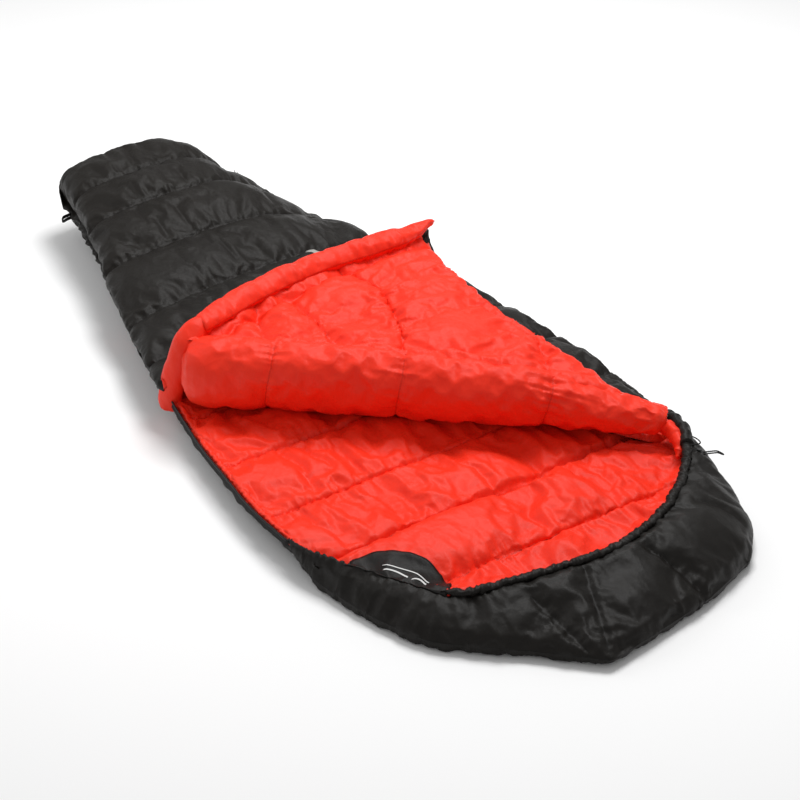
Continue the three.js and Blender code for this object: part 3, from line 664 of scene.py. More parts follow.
def build_top():
    seams = [across(*ends) for ends in TOP_SEAMS]
    top = quilt("top_quilt", top_outline(), seams, top_upper, top_lower, [BLACK, RED],
                spacing=0.0095, puff=(0.016, 0.008), reach=0.085, seed=11, stretch=0.045,
                pressure=5.0, cap=0.018, fix=fix_top, pucker=0.0036, pucker_reach=0.024,
                paint=closed_edge)
    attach(top, "bag")
    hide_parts("top_shell", "top_lining", *[f"top_down_{k:02d}" for k in range(1, 7)])
    return top


def back_lower(p):
    s = side_share(p)
    y = half_width(p[:, 0]) * sideways(s)
    z = BACK_EDGE_Z - (BACK_EDGE_Z - 0.006) * height_share(s) ** mix(0.9, 1.2, ramp(s, 0, 0.3))
    foot = np.clip((p[:, 0] - FOOT_X) / 0.05, 0, 1)
    z = mix(0.03, z, np.sqrt(foot))
    return np.stack([p[:, 0], y, z], 1)


def back_upper(p):
    out = back_lower(p)
    s = np.abs(side_share(p))
    out[:, 2] = mix(0.040, BACK_EDGE_Z, ramp(s, 0.86, 1.0))
    return out


def fix_back(co, lower):
    floor = 0.0015 + 0.0008 * np.sin(co[:, 0] * 90)
    ceiling = LINING_Z + 0.004 * ramp(co[:, 0], 0.3, 0.6)
    co[:, 2] = np.where(lower, np.maximum(co[:, 2], floor), np.minimum(co[:, 2], ceiling))
    return co


def build_back():
    near_x, far_x = NECK_RIB
    far = [(x, sheet_half(x)) for x in np.linspace(FOOT_X, far_x, 40)]
    neck = [(mix(near_x, far_x, v), mix(-sheet_half(near_x), sheet_half(far_x), v))
            for v in np.linspace(1, 0, 30)]
    near = [(x, -sheet_half(x)) for x in np.linspace(near_x, FOOT_X, 40)]
    outline = np.array(far + neck[1:-1] + near + foot_end())
    v = np.linspace(0.004, 0.996, 60)
    seams = [np.stack([x + 0.03 * ramp(x, -0.1, 0.35) * (1 - 2 * v),
                       mix(-sheet_half(x), sheet_half(x), v)], 1) for x in BACK_SEAMS]
    back = quilt("back_quilt", outline, seams, back_upper, back_lower, [RED, BLACK],
                 spacing=0.0105, puff=(0.018, 0.006), reach=0.085, seed=23, stretch=0.095,
                 pressure=2.8, cap=0.02, fix=fix_back, rumple=0.0015, pucker=0.0040,
                 pucker_reach=0.045, loose=0.25, paint=closed_edge)
    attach(back, "bag")
    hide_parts("back_shell", "back_lining", *[f"back_down_{k:02d}" for k in range(1, 11)])
    return back


def foot_arc(s):
    """The seam between the top quilt and the footbox, by share of its length, -1 to 1."""
    p = np.stack([np.full(len(s), FOOT_X), s * sheet_half(FOOT_X)], 1)
    return top_upper(p)


FOOT_SHEET = (0.26, 0.16)  # the footbox's flat cloth: half width, height


def foot_outer(p):
    s, f = p[:, 0] / FOOT_SHEET[0], p[:, 1] / FOOT_SHEET[1]
    arc = foot_arc(s) + [0.004, 0, 0.002]
    bottom = np.stack([np.full(len(s), FOOT_X), half_width(FOOT_X) * sideways(s),
                       np.full(len(s), 0.03)], 1)
    out = mix(bottom, arc, f[:, None])
    bulge = np.sqrt(np.clip(1 - s * s, 0, 1)) * np.sqrt(np.clip(1 - (2 * f - 1) ** 2, 0, 1))
    out[:, 0] -= 0.008 * bulge
    return out


def foot_inner(p):
    out = foot_outer(p)
    out[:, 0] = np.maximum(out[:, 0] + 0.03, FOOT_X)
    return out


def build_foot():
    half, height = FOOT_SHEET
    s = np.linspace(-half, half, 40)
    outline = np.array([(x, 0.0) for x in s] + [(x, height) for x in s[::-1]])
    foot = quilt("footbox_quilt", outline, [], foot_outer, foot_inner, [BLACK, BLACK],
                 spacing=0.0105, puff=(0.010, 0.002), reach=0.05, seed=31, stretch=0.05,
                 pressure=4.0, cap=0.012, pucker=0.0024)
    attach(foot, "bag")
    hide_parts("footbox_shell", "footbox_down", "footbox_lining")
    return foot


# ---- The flap ----

CORNER_REACH = 0.55  # the flap thins out this close to the far end of its fold
FOLD_RADIUS = 0.0735


def neck_edge(v):
    """The flap's neck edge from the zip (v 0) to the far side (v 1), as it lies shut."""
    x = mix(NECK_NEAR, NECK_FAR, v) - 4 * NECK_DIP * v * (1 - v)
    y = mix(-half_width(NECK_NEAR), FOLD_C[1] - 0.004, v)
    return np.stack([x, y], -1)


def zip_edge():
    return np.array([(x, -half_width(x)) for x in np.linspace(-0.098, NECK_NEAR, 60)])


def fold_radius(to_end):
    """Half the flap's thickness at a distance from the far end of its fold."""
    near = np.clip(to_end / CORNER_REACH, 0, 1)
    return mix(0.013, FOLD_RADIUS, 1 - (1 - near) ** 2)


def zip_rounding(p):
    inside = np.clip(to_polyline(p, zip_edge())[0] / 0.075, 0, 1)
    return np.sqrt(1 - (1 - inside) ** 2)


def neck_rounding(p):
    away = np.clip(to_polyline(p, neck_edge(np.linspace(0, 1, 40)))[0] / 0.035, 0, 1)
    return np.sqrt(1 - (1 - away) ** 2)


def flap_depth(p):
    """How far below the fold line the shut flap's lining lies."""
    behind = -fold_distance(p[:, 0], p[:, 1])
    to_end = np.hypot(p[:, 0] - FOLD_C[0], p[:, 1] - FOLD_C[1])
    to_zip = to_polyline(p, zip_edge())[0]
    groove = 0.20 * np.exp(-((to_zip - 0.062) / 0.020) ** 2) * ramp(behind, 0.0, 0.06)
    return fold_radius(to_end) * (1 - 0.22 * ramp(behind, 0.0, 0.05) - groove)


def flap_lining_side(p):
    depth = flap_depth(p)
    z = mix(FOLD_Z - 0.4 * depth, FOLD_Z - depth, neck_rounding(p))
    z = mix(np.minimum(EDGE_Z, z), z, zip_rounding(p))
    return np.stack([p[:, 0], p[:, 1], z], 1)


def flap_shell_side(p):
    out = flap_lining_side(p)
    behind = np.clip(-fold_distance(p[:, 0], p[:, 1]) / 0.03, 0, 1)
    z = mix(out[:, 2], 0.138, np.sqrt(behind))
    z = mix(out[:, 2], z, neck_rounding(p))
    out[:, 2] = mix(np.minimum(out[:, 2], z), z, zip_rounding(p))
    return out


SHELL_TOP = 0.1440
LINING_LOW = 0.0530


def fix_flap(co, lower):
    """Keeps the flap's shell and lining apart and inside its depth, then folds it back."""
    base = flap_lining_side(co[:, :2])[:, 2]
    shell = np.clip(co[:, 2], base + 0.003, SHELL_TOP)
    lining = np.maximum(np.minimum(co[:, 2], base + 0.001), LINING_LOW)
    co[:, 2] = np.where(lower, shell, lining)
    return turned_back(co)


FLAP_SEAMS = [[(0.110, -0.425), (0.048, -0.315), (0.025, -0.265)],
              [(0.185, -0.385), (0.172, -0.290), (0.140, -0.180), (0.110, -0.160)],
              [(0.350, -0.440), (0.367, -0.293), (0.286, -0.125), (0.235, -0.060)],
              [(0.490, -0.085), (0.500, 0.060), (0.465, 0.140), (0.425, 0.190)]]


def build_flap():
    neck = neck_edge(np.linspace(0, 1, 40))
    fold = [mix(FOLD_C, FOLD_A, t) + FOLD_OUT * 0.0006 for t in np.linspace(0.006, 0.970, 60)]
    outline = np.vstack([zip_edge(), neck[1:], fold])
    seams = [smooth_path(np.array(line), 60) for line in FLAP_SEAMS]
    flap = quilt("flap_quilt", outline, seams, flap_lining_side, flap_shell_side, [RED, BLACK],
                 spacing=0.0088, puff=(0.016, 0.003), reach=0.10, seed=41, stretch=0.075,
                 pressure=2.6, cap=0.014, fix=fix_flap, rumple=0.0016, pucker=0.0048,
                 pucker_reach=0.050, sides=[zip_edge(), neck], loose=0.2)
    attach(flap, "flap")
    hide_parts("flap_shell", "flap_lining", *[f"flap_down_{k:02d}" for k in range(1, 5)])
    return flap


FOLD_ARC = 0.075  # flat cloth per radian of the fold
FOLD_OVERLAP = 0.042  # how far the fold's cloth runs on over the flap
FOLD_BOW = 0.040  # how far the fold's lower edge is drawn back at mid-length
FOLD_START = 0.032  # the roll's heel wraps round the fold from here to its near end
FOLD_SEAMS = (0.227, 0.51, 0.827)  # where the flap's seams meet the fold, along it


def fold_bow(t, a):
    return FOLD_BOW * np.sin(math.pi * np.clip(t / FOLD_LENGTH, 0, 1)) * (1 - np.sin(a)) / 2


def on_fold(t, out, z):
    """A place by length along the fold line, reach towards the head, and height."""
    xy = FOLD_A + t[:, None] * FOLD_ALONG + out[:, None] * FOLD_OUT
    return np.column_stack([xy, z])


def fold_outer(p):
    """The rounded fold, by length along the fold line and arc round it."""
    t, a = p[:, 0], p[:, 1] / FOLD_ARC
    past = np.clip(a - math.pi / 2, 0, 1)
    a = np.minimum(a, math.pi / 2)
    r = fold_radius(FOLD_LENGTH - t)
    near_end = np.sqrt(1 - 0.80 * (1 - np.clip((t - FOLD_START) / 0.08, 0, 1)) ** 2)
    sag = 0.004 * (1 - np.sin(a)) / 2
    out = r * np.cos(a) * 0.98 * near_end - fold_bow(t, a) - past * FOLD_ARC
    z = FOLD_Z + r * np.sin(a) * mix(0.3, 1, near_end) - sag - 0.02 * past * r / 0.07
    co = on_fold(t, out, z)
    co[:, 2] -= droop(co)
    return co


def fold_inner(p):
    t, a = p[:, 0], np.minimum(p[:, 1] / FOLD_ARC, math.pi / 2)
    return on_fold(t, -fold_bow(t, a) - 0.010, fold_outer(p)[:, 2])


def build_fold():
    quarter = FOLD_ARC * math.pi / 2
    top = quarter + FOLD_OVERLAP
    along = np.linspace(FOLD_START, FOLD_LENGTH - 0.004, 60)
    ends = np.linspace(-quarter, top, 14)
    bottom = np.array([(t, -quarter) for t in along])
    near = np.array([(along[0], a) for a in ends])
    outline = np.array([(t, -quarter) for t in along] + [(along[-1], a) for a in ends[1:-1]]
                       + [(t, top) for t in along[::-1]]
                       + [(along[0], a) for a in ends[::-1][1:-1]])
    seams = [np.array([(t + 0.010 * math.sin(a * 20), a)
                       for a in np.linspace(-quarter + 0.02, top - 0.004, 24)]) for t in FOLD_SEAMS]
    return quilt("flap_fold_roll", outline, seams, fold_outer, fold_inner, [RED, RED],
                 spacing=0.0088, puff=(0.009, 0.001), reach=0.085, seed=47, stretch=0.035,
                 pressure=2.2, cap=0.012, rumple=0.0014, pucker=0.0046, pucker_reach=0.035,
                 sides=[bottom, near], loose=0.3)


def build_fold_shell():
    """The shell at the fold line: inside the fold at rest, on show once the flap is shut."""
    t = np.linspace(0.045, 0.78, 160)
    xy = FOLD_A + (t * FOLD_LENGTH)[:, None] * FOLD_ALONG
    radius = fold_radius(FOLD_LENGTH * (1 - t))
    path = np.column_stack([xy, 0.122 - droop(xy) - 0.3 * (FOLD_RADIUS - radius)])
    obj = sleeve("fold_line_shell", path, np.minimum(0.030, 0.6 * radius),
                 np.minimum(0.012, 0.35 * radius), [BLACK], 18,
                 lambda s, a: 0.0022 * noise(s * 40, 2 * np.cos(a), 49))
    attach(obj, "bag")


# ---- Draft roll along the flap's zip edge ----

ROLL_LENGTH = 0.70
ROLL_GIRTH = 0.05  # half the roll's flat cloth


def roll_path(t):
    """Centre of the roll from the fold (0) to the tip (1), where it lies with the flap shut."""
    x = mix(-0.055, 0.635, t)
    inset = 0.026 - 0.016 * np.sin(math.pi * np.clip(t * 1.4, 0, 1))
    return x, inset - half_width(np.minimum(x, NECK_NEAR))


def roll_point(p, side):
    t = p[:, 0] / ROLL_LENGTH
    a = p[:, 1] / ROLL_GIRTH * math.pi
    x, y = roll_path(t)
    tip = np.clip((1 - t) / 0.16, 0.0, 1) ** 0.7
    heel = mix(0.78, 1.0, np.clip(t / 0.1, 0, 1))
    wide = (0.029 + 0.003 * noise(t * 7, 0, 57)) * tip * heel
    tall = 0.023 * tip * heel
    lift = 0.016 * ramp(t, 0.86, 1.0)
    return np.stack([x, y - wide * np.cos(a), 0.0645 - lift - side * tall * np.sin(a)], 1)


def build_roll():
    along = np.linspace(0, ROLL_LENGTH, 80)
    ends = np.linspace(0, ROLL_GIRTH, 7)[1:-1]
    sewn = [(t, ROLL_GIRTH) for t in along[::-1]]
    outline = np.array([(t, 0.0) for t in along] + [(ROLL_LENGTH, a) for a in ends]
                       + sewn + [(0.0, a) for a in ends[::-1]])
    return quilt("draft_roll", outline, [], lambda p: roll_point(p, 1),
                 lambda p: roll_point(p, -1), [RED, RED], spacing=0.0085, puff=(0.003, 0.002),
                 reach=0.02, seed=53, stretch=0.060, pressure=2.5, cap=0.005,
                 fix=lambda co, lower: turned_back(co), rumple=0.0007, pucker=0.0022,
                 pucker_reach=0.02, sides=[np.array(sewn)])


HEEL = [(-0.1385, -0.318, 0.222), (-0.126, -0.350, 0.219), (-0.118, -0.376, 0.200),
        (-0.122, -0.394, 0.160), (-0.130, -0.408, 0.110), (-0.137, -0.416, 0.066),
        (-0.139, -0.418, 0.038)]


def smooth_path(points, n):
    """A rounded path through the points, n of them."""
    points = np.asarray(points, float)
    run = run_lengths(points)
    at = np.linspace(0, run[-1], n)
    out = np.stack([np.interp(at, run, points[:, k]) for k in range(points.shape[1])], 1)
    for _ in range(max(1, n // 14)):
        out[1:-1] = (out[:-2] + 2 * out[1:-1] + out[2:]) / 4
    return out


def rings(path, up=(0, 0, 1)):
    """Two directions across a path at each of its points."""
    ahead = np.gradient(path, axis=0)
    ahead /= np.linalg.norm(ahead, axis=1)[:, None]
    side = np.cross(ahead, np.asarray(up, float))
    side /= np.maximum(np.linalg.norm(side, axis=1), 1e-6)[:, None]
    return side, np.cross(side, ahead)


def sleeve(name, path, wide, tall, materials, sides=12, gather=None, up=(0, 0, 1)):
    """A closed tube along a path. gather(along, angle) adds to its radius."""
    path = np.asarray(path, float)
    n = len(path)
    side, over = rings(path, up)
    along = run_lengths(path)
    angle = np.arange(sides) * 2 * math.pi / sides
    wide = np.broadcast_to(wide, (n,))[:, None]
    tall = np.broadcast_to(tall, (n,))[:, None]
    more = gather(along[:, None], angle[None, :]) if gather else np.zeros((n, sides))
    across_by = (wide + more) * np.cos(angle)
    over_by = (tall + more) * np.sin(angle)
    co = path[:, None] + side[:, None] * across_by[..., None] + over[:, None] * over_by[..., None]
    faces = [(i * sides + k, i * sides + (k + 1) % sides, (i + 1) * sides + (k + 1) % sides,
              (i + 1) * sides + k) for i in range(n - 1) for k in range(sides)]
    faces += [tuple(reversed(range(sides))), tuple((n - 1) * sides + k for k in range(sides))]
    obj = new_mesh(name, co.reshape(-1, 3), faces, materials)
    set_attribute(obj.data, "seam_far", np.ones(n * sides))
    return obj


def build_heel():
    """The draft tube's lower end, which wraps round the near end of the fold."""
    path = smooth_path(HEEL, 40)
    t = np.linspace(0, 1, 40)
    size = np.sin(math.pi * np.clip(0.28 + 0.66 * t, 0, 1)) ** 0.30
    return sleeve("draft_roll_heel", path, 0.0285 * size * (1 + 0.22 * t ** 2), 0.023 * size,
                  [RED], 26, lambda s, a: 0.0016 * noise(s * 60 + 3 * np.cos(a), a * 1.2, 58)
                  + 0.0022 * noise(s * 18, 2 * np.cos(a), 59), up=(1, -1, 0.1))


# ---- Hood ----

RIM = [(0.470, -0.4575, 0.070), (0.505, -0.449, 0.077), (0.540, -0.438, 0.081),
       (0.595, -0.412, 0.081), (0.700, -0.358, 0.078), (0.790, -0.306, 0.077),
       (0.820, -0.272, 0.078), (0.838, -0.200, 0.082), (0.856, -0.120, 0.089),
       (0.872, -0.010, 0.095), (0.872, 0.062, 0.098), (0.851, 0.139, 0.101),
       (0.820, 0.212, 0.102), (0.766, 0.292, 0.102), (0.690, 0.368, 0.100),
       (0.620, 0.420, 0.094), (0.540, 0.445, 0.080)]
OUTLINE = [(0.462, -0.4665), (0.500, -0.4665), (0.560, -0.460), (0.640, -0.444),
           (0.720, -0.424), (0.800, -0.396), (0.852, -0.368), (0.915, -0.300),
           (0.977, -0.223), (1.060, -0.132), (1.082, -0.112), (1.054, 0.03), (1.026, 0.165),
           (0.967, 0.318), (0.890, 0.390), (0.800, 0.424), (0.690, 0.452), (0.560, 0.470)]
SEAM_ENDS = (((0.898, -0.165), (1.060, -0.134)), ((0.886, -0.039), (1.076, -0.108)),
             ((0.905, 0.105), (1.024, 0.160)))
RIM_LINE = np.array(RIM)[:, :2]
OUT_LINE = np.array(OUTLINE)
BAND_LOW_Z = (0.050, 0.004)  # the hood's underside where it starts beside the zip, and beyond
BAND_EDGE_Z = (0.058, 0.024)  # its outer edge, at the same two places


def band_share(p):
    """Share of the way from the hood's rim to its outline, the rim's height, the band's width."""
    to_rim, along = to_polyline(p, RIM_LINE)
    width = to_rim + to_polyline(p, OUT_LINE)[0]
    rim_z = np.interp(along, run_lengths(RIM_LINE), [r[2] for r in RIM])
    return to_rim / np.maximum(width, 1e-9), rim_z, width


def band_growth(p):
    """0 where the hood starts beside the zip, 1 where it has its full depth; and the far share."""
    far = ramp(p[:, 1], 0.0, 0.35)
    return np.maximum(ramp(p[:, 0], 0.46, 0.58), far), far


def band_upper(p):
    f, rim_z, _ = band_share(p)
    grown, far = band_growth(p)
    z = mix(rim_z, mix(*BAND_EDGE_Z, grown), f ** mix(1.25, 1.9, far))
    return np.stack([p[:, 0], p[:, 1], z], 1)


def band_lower(p):
    f, rim_z, _ = band_share(p)
    grown, _ = band_growth(p)
    low, edge = mix(*BAND_LOW_Z, grown), mix(*BAND_EDGE_Z, grown)
    z = np.where(f < 0.3, mix(rim_z, low, (f / 0.3) ** 0.7), low)
    z = np.where(f > 0.92, mix(low, edge, ((f - 0.92) / 0.08) ** 2), z)
    return np.stack([p[:, 0], p[:, 1], z], 1)


def fix_low(co, lower):
    co[:, 2] = np.maximum(co[:, 2], 0.003)
    return co


def bend_with_hood(obj):
    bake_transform(obj)


def build_hood():
    seams = [np.array([mix(np.array(a), np.array(b), f) for f in np.linspace(0.0, 0.96, 20)])
             for a, b in SEAM_ENDS]
    outline = np.vstack([RIM_LINE, OUT_LINE[::-1]])
    hood = quilt("hood_panels", outline, seams, band_upper, band_lower, [PANEL, PANEL],
                 spacing=0.0095, puff=(0.013, 0.001), reach=0.075, seed=61, stretch=0.035,
                 pressure=2.5, cap=0.011, fix=fix_low, pucker=0.0030, pucker_reach=0.022,
                 scale=lambda p: np.clip(band_share(p)[2] / 0.16, 0.1, 1), rumple=0.0005)
    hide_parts("hood_base_shell", "hood_down", "hood_panel_near", "hood_panel_wedge",
                "hood_panel_centre", "hood_panel_far")
    return hood


def bowl_sides():
    """The outline of the hood's lining: zip side, rim and far side, tucked under the rim."""
    centre = np.array([0.66, 0.0])
    out = RIM_LINE - centre
    tucked = RIM_LINE + 0.014 * out / np.linalg.norm(out, axis=1)[:, None]
    first = (NECK_RIB[0] - 0.007, -half_width(NECK_RIB[0]) + 0.002)
    last = (NECK_RIB[1] - 0.007, half_width(NECK_RIB[1]) - 0.002)
    return [first] + [tuple(p) for p in tucked[3:16]] + [last]


def bowl_upper(p):
    away = to_polyline(p, np.array(bowl_sides()))[0]
    high = 0.056 + 0.022 * ramp(p[:, 0], 0.62, 0.84)
    z = mix(0.042, high, np.clip(1 - away / 0.075, 0, 1) ** 1.6)
    z -= 0.020 * np.clip(1 - away / 0.024, 0, 1)
    return np.stack([p[:, 0], p[:, 1], z], 1)


def bowl_lower(p):
    out = bowl_upper(p)
    out[:, 2] = np.minimum(out[:, 2], 0.006)
    return out


def build_bowl():
    outline = np.array(bowl_sides())
    seam = np.array([(mix(0.742, 0.712, v) - 0.01 * math.sin(math.pi * v), mix(-0.33, 0.345, v))
                     for v in np.linspace(0.03, 0.985, 60)])
    bowl = quilt("hood_lining_quilt", outline, [seam], bowl_upper, bowl_lower, [RED, BLACK],
                 spacing=0.0092, puff=(0.020, 0.0), reach=0.085, seed=71, stretch=0.10,
                 pressure=2.6, cap=0.02, fix=fix_low, rumple=0.0015, pucker=0.0044,
                 pucker_reach=0.045, loose=0.25)
    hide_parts("hood_lining")
    return bowl


def build_rim():
    """The drawcord's channel, gathered along the hood's rim."""
    line = np.array(RIM)[5:16] + [0, 0, 0.002]
    path = smooth_path(line, 460)
    t = np.linspace(0, 1, 460)
    size = 0.0095 * np.clip(np.minimum(t, 1 - t) / 0.03, 0.25, 1)

    def ruched(s, a):
        folds = ridged(s * 95 + 0.4 * np.cos(a), a * 0.5, 62)
        return 0.0022 * folds + 0.0012 * noise(s * 210, a * 0.8, 63)

    rim = sleeve("hood_rim_ruched", path, size, size * 0.85, [PANEL], 20, ruched)
    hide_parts("hood_rim_channel")
    return rim


# ---- Trim: zip, piping, patch, cords, loops ----


def surface_under(*objs):
    """A function that gives the height of the highest of these pieces below each plan point."""
    trees = [BVHTree.FromPolygons([v.co for v in o.data.vertices],
                                  [tuple(p.vertices) for p in o.data.polygons]) for o in objs]

    def height(xy, start=0.5):
        out = []
        for x, y in xy:
            hits = [t.ray_cast(Vector((x, y, start)), Vector((0, 0, -1)))[0] for t in trees]
            out.append(max([h.z for h in hits if h is not None], default=0.0))
        return np.array(out)

    return height


def face_outwards(obj, fill=False):
    """Merges doubled points, closes holes if asked, and turns every face outwards."""
    bm = bmesh.new()
    bm.from_mesh(obj.data)
    if fill:
        bmesh.ops.remove_doubles(bm, verts=bm.verts, dist=1e-5)
        bmesh.ops.holes_fill(bm, edges=bm.edges)
    bmesh.ops.recalc_face_normals(bm, faces=bm.faces)
    bm.to_mesh(obj.data)
    bm.free()


def ribbon(name, path, across_dir, width, thick, materials, edge_dip=0.0):
    """A flat closed strip along a path; across_dir gives its width's direction at each point."""
    path = np.asarray(path, float)
    n = len(path)
    wide = np.broadcast_to(np.asarray(across_dir, float), (n, 3))
    wide = wide / np.linalg.norm(wide, axis=1)[:, None]
    ahead = np.gradient(path, axis=0)
    out = np.cross(ahead, wide)
    out /= np.maximum(np.linalg.norm(out, axis=1), 1e-9)[:, None]
    shares = (-0.5, -0.42, 0.0, 0.42, 0.5)
    top = [path + wide * width * c + out * (thick / 2 - edge_dip * (abs(c) > 0.45)) for c in shares]
    low = [path + wide * width * c - out * thick / 2 for c in reversed(shares)]
    loop = np.stack(top + low, 1)
    k = loop.shape[1]
    faces = [(i * k + a, i * k + (a + 1) % k, (i + 1) * k + (a + 1) % k, (i + 1) * k + a)
             for i in range(n - 1) for a in range(k)]
    faces += [tuple(reversed(range(k))), tuple((n - 1) * k + a for a in range(k))]
    obj = new_mesh(name, loop.reshape(-1, 3), faces, materials)
    face_outwards(obj)
    return obj


def near_edge(x0, x1, z, out=0.0, step=0.004):
    x = np.linspace(x0, x1, max(2, int((x1 - x0) / step)))
    return np.stack([x, -half_width(x) - out, np.broadcast_to(z, x.shape)], 1)


def under_rim(path):
    """The zip's end turns in with the hood's rim instead of running on along the edge."""
    rim_y = np.interp(path[:, 0], RIM_LINE[:5, 0], RIM_LINE[:5, 1]) - 0.004
    path[:, 1] = np.where(path[:, 0] > RIM_LINE[0, 0], np.maximum(path[:, 1], rim_y), path[:, 1])
    return path


def teeth(name, path, up_dir, materials, pitch=0.0034, length=0.0042):
    """The zip's coil: one small rounded loop after another along the tape's edge."""
    run = run_lengths(path)
    at = np.arange(pitch / 2, run[-1], pitch)
    mid = np.stack([np.interp(at, run, path[:, k]) for k in range(3)], 1)
    ahead = np.gradient(mid, axis=0)
    ahead /= np.linalg.norm(ahead, axis=1)[:, None]
    up = np.broadcast_to(np.asarray(up_dir, float), mid.shape)
    out = np.cross(ahead, up)
    out /= np.linalg.norm(out, axis=1)[:, None]
    ring = [(-1, -0.5), (-1, 0.5), (-0.4, 1), (0.4, 1), (1, 0.5), (1, -0.5), (0.4, -1),
            (-0.4, -1)]
    verts, faces = [], []
    for side in (-1, 1):
        for a, b in ring:
            verts.append(mid + ahead * a * pitch * 0.32 + out * b * 0.0014 + up * side * length / 2)
    verts = np.stack(verts, 1)
    k = len(ring)
    for i in range(len(mid)):
        base = i * 2 * k
        faces.append(tuple(base + j for j in reversed(range(k))))
        faces.append(tuple(base + k + j for j in range(k)))
        faces += [(base + j, base + (j + 1) % k, base + k + (j + 1) % k, base + k + j)
                  for j in range(k)]
    return new_mesh(name, verts.reshape(-1, 3), faces, materials)


def trim(obj, body, slot, *nodes):
    """Sets what a small piece rides on and hides the CAD nodes it stands for; slot is not used."""
    if body:
        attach(obj, body)
    if nodes:
        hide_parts(*nodes)
    return obj


def ruche(seed, size):
    return lambda s, a: size * ridged(s * 105 + 0.3 * np.cos(a), a * 0.5, seed)


OPEN_START = -0.16  # the zip is shut from the foot to here
FLAP_ZIP_START = -0.07
TAPE_SIZE = (0.014, 0.0011)  # width, thickness


def wavy(path, seed):
    """Lets a tape's height wander a little along the bag."""
    path[:, 2] += 0.0012 * noise(path[:, 0] * 21, 0, seed)
    return path


def build_zips():
    back = wavy(under_rim(near_edge(FOOT_X + 0.03, NECK_NEAR, 0.0575, 0.0035)), 81)
    back_coil = wavy(under_rim(near_edge(FOOT_X + 0.035, NECK_NEAR - 0.002, 0.0652, 0.0042)), 81)
    top = near_edge(FOOT_X + 0.03, OPEN_START, 0.0755, 0.0035)
    top_coil = near_edge(FOOT_X + 0.0367, OPEN_START, 0.0678, 0.0042)
    flap = turned_back(wavy(near_edge(FLAP_ZIP_START, NECK_NEAR, 0.0765, 0.0030), 82))
    flap_coil = turned_back(near_edge(FLAP_ZIP_START, NECK_NEAR, 0.0700, 0.0036))
    up = turned_back([[0, 0, 1]])[0] - turned_back([[0, 0, 0]])[0]
    for name, path, wide, body, node in (
            ("zip_back_tape", back, (0, 0.25, 1), "bag", "zip_tape_back"),
            ("zip_top_tape", top, (0, -0.1, 1), "bag", "zip_tape_top"),
            ("flap_tape", flap, up, "flap", "flap_zip_tape")):
        trim(ribbon(name, path, wide, *TAPE_SIZE, [TAPE]), body, "black_webbing", node)
    for name, path, wide, body, node in (
            ("zip_back_coil", back_coil, (0, 0, 1), "bag", "zip_coil_back"),
            ("zip_top_coil", top_coil, (0, 0, 1), "bag", "zip_coil_top"),
            ("flap_coil", flap_coil, up, "flap", "flap_zip_coil")):
        trim(teeth(name, path, wide, [PLASTIC]), body, "zip_coil", node)
    guard = near_edge(-0.10, 0.50, 0.0600, -0.0095, 0.0022)
    strip = sleeve("zip_guard", guard, 0.0062, 0.0050, [RED], 14, ruche(83, 0.0019))
    trim(strip, "bag", "lining_fabric", "zip_guard_strip")


def build_side_piping():
    x = np.linspace(FOOT_X + 0.02, 0.50, 700)
    path = np.stack([x, half_width(x) + 0.0005, np.full(len(x), 0.0625)], 1)
    obj = sleeve("side_seam_piping", path, 0.0058, 0.0075, [BLACK], 12, ruche(84, 0.0014))
    trim(obj, "bag", "shell_fabric", "side_seam_tape")


def build_neck():
    v = np.linspace(0, 1, 420)
    plan = neck_edge(v)
    shut = flap_lining_side(plan)
    ahead = np.gradient(shut, axis=0)
    outwards = np.stack([ahead[:, 1], -ahead[:, 0], 0 * v], 1)
    outwards /= np.linalg.norm(outwards, axis=1)[:, None]
    wide = np.interp(v, [0, 0.08, 0.9, 1], [0.010, 0.014, 0.012, 0.006])
    path = turned_back(shut + outwards * 0.004 + [0, 0, 0.010])
    obj = sleeve("neck_edge_binding", path, wide, wide * 0.8, [BLACK], 16,
                 lambda s, a: 0.0016 * ridged(s * 60, a * 0.6, 85))
    trim(obj, "flap", "shell_fabric", "neck_binding")
    line = turned_back(shut + outwards * 0.006 + [0, 0, -0.0035])
    trim(sleeve("neck_piping", line, 0.0012, 0.0012, [PIPING], 10), "flap", "black_webbing")


def build_neck_gather():
    """The lining's ruched end, where the neck and the hood's rim meet at the far side."""
    folds = lambda s, a: 0.0028 * ridged(s * 80, a * 0.5, 86)
    inside = smooth_path([(0.560, 0.402, 0.098), (0.600, 0.400, 0.100), (0.636, 0.390, 0.094),
                          (0.657, 0.372, 0.076)], 90)
    slim = np.interp(np.linspace(0, 1, 90), [0, 0.70, 1], [1, 0.95, 0.30])
    lining = sleeve("neck_gather", inside, 0.014 * slim, 0.018 * slim, [RED], 22, folds)
    outside = smooth_path([(0.515, 0.444, 0.078), (0.560, 0.436, 0.092), (0.610, 0.420, 0.100),
                           (0.655, 0.396, 0.098)], 90)
    shell = sleeve("neck_gather_shell", outside, 0.014, 0.020, [BLACK], 22, folds)
    return [trim(lining, None, "lining_fabric"), trim(shell, None, "shell_fabric")]


def build_tab():
    x, y = roll_path(1.0)
    tip = turned_back([[x, y, 0.0485]])[0]
    path = smooth_path([tip + [-0.004, -0.028, -0.026], tip + [0.008, -0.032, -0.028],
                        tip + [0.016, -0.034, -0.033], tip + [0.022, -0.036, -0.040]], 16)
    obj = ribbon("tip_tab", path, (0.24, 0.97, 0), 0.015, 0.0018, [TAPE], 0.0004)
    trim(obj, "flap", "black_webbing", "zip_tab")


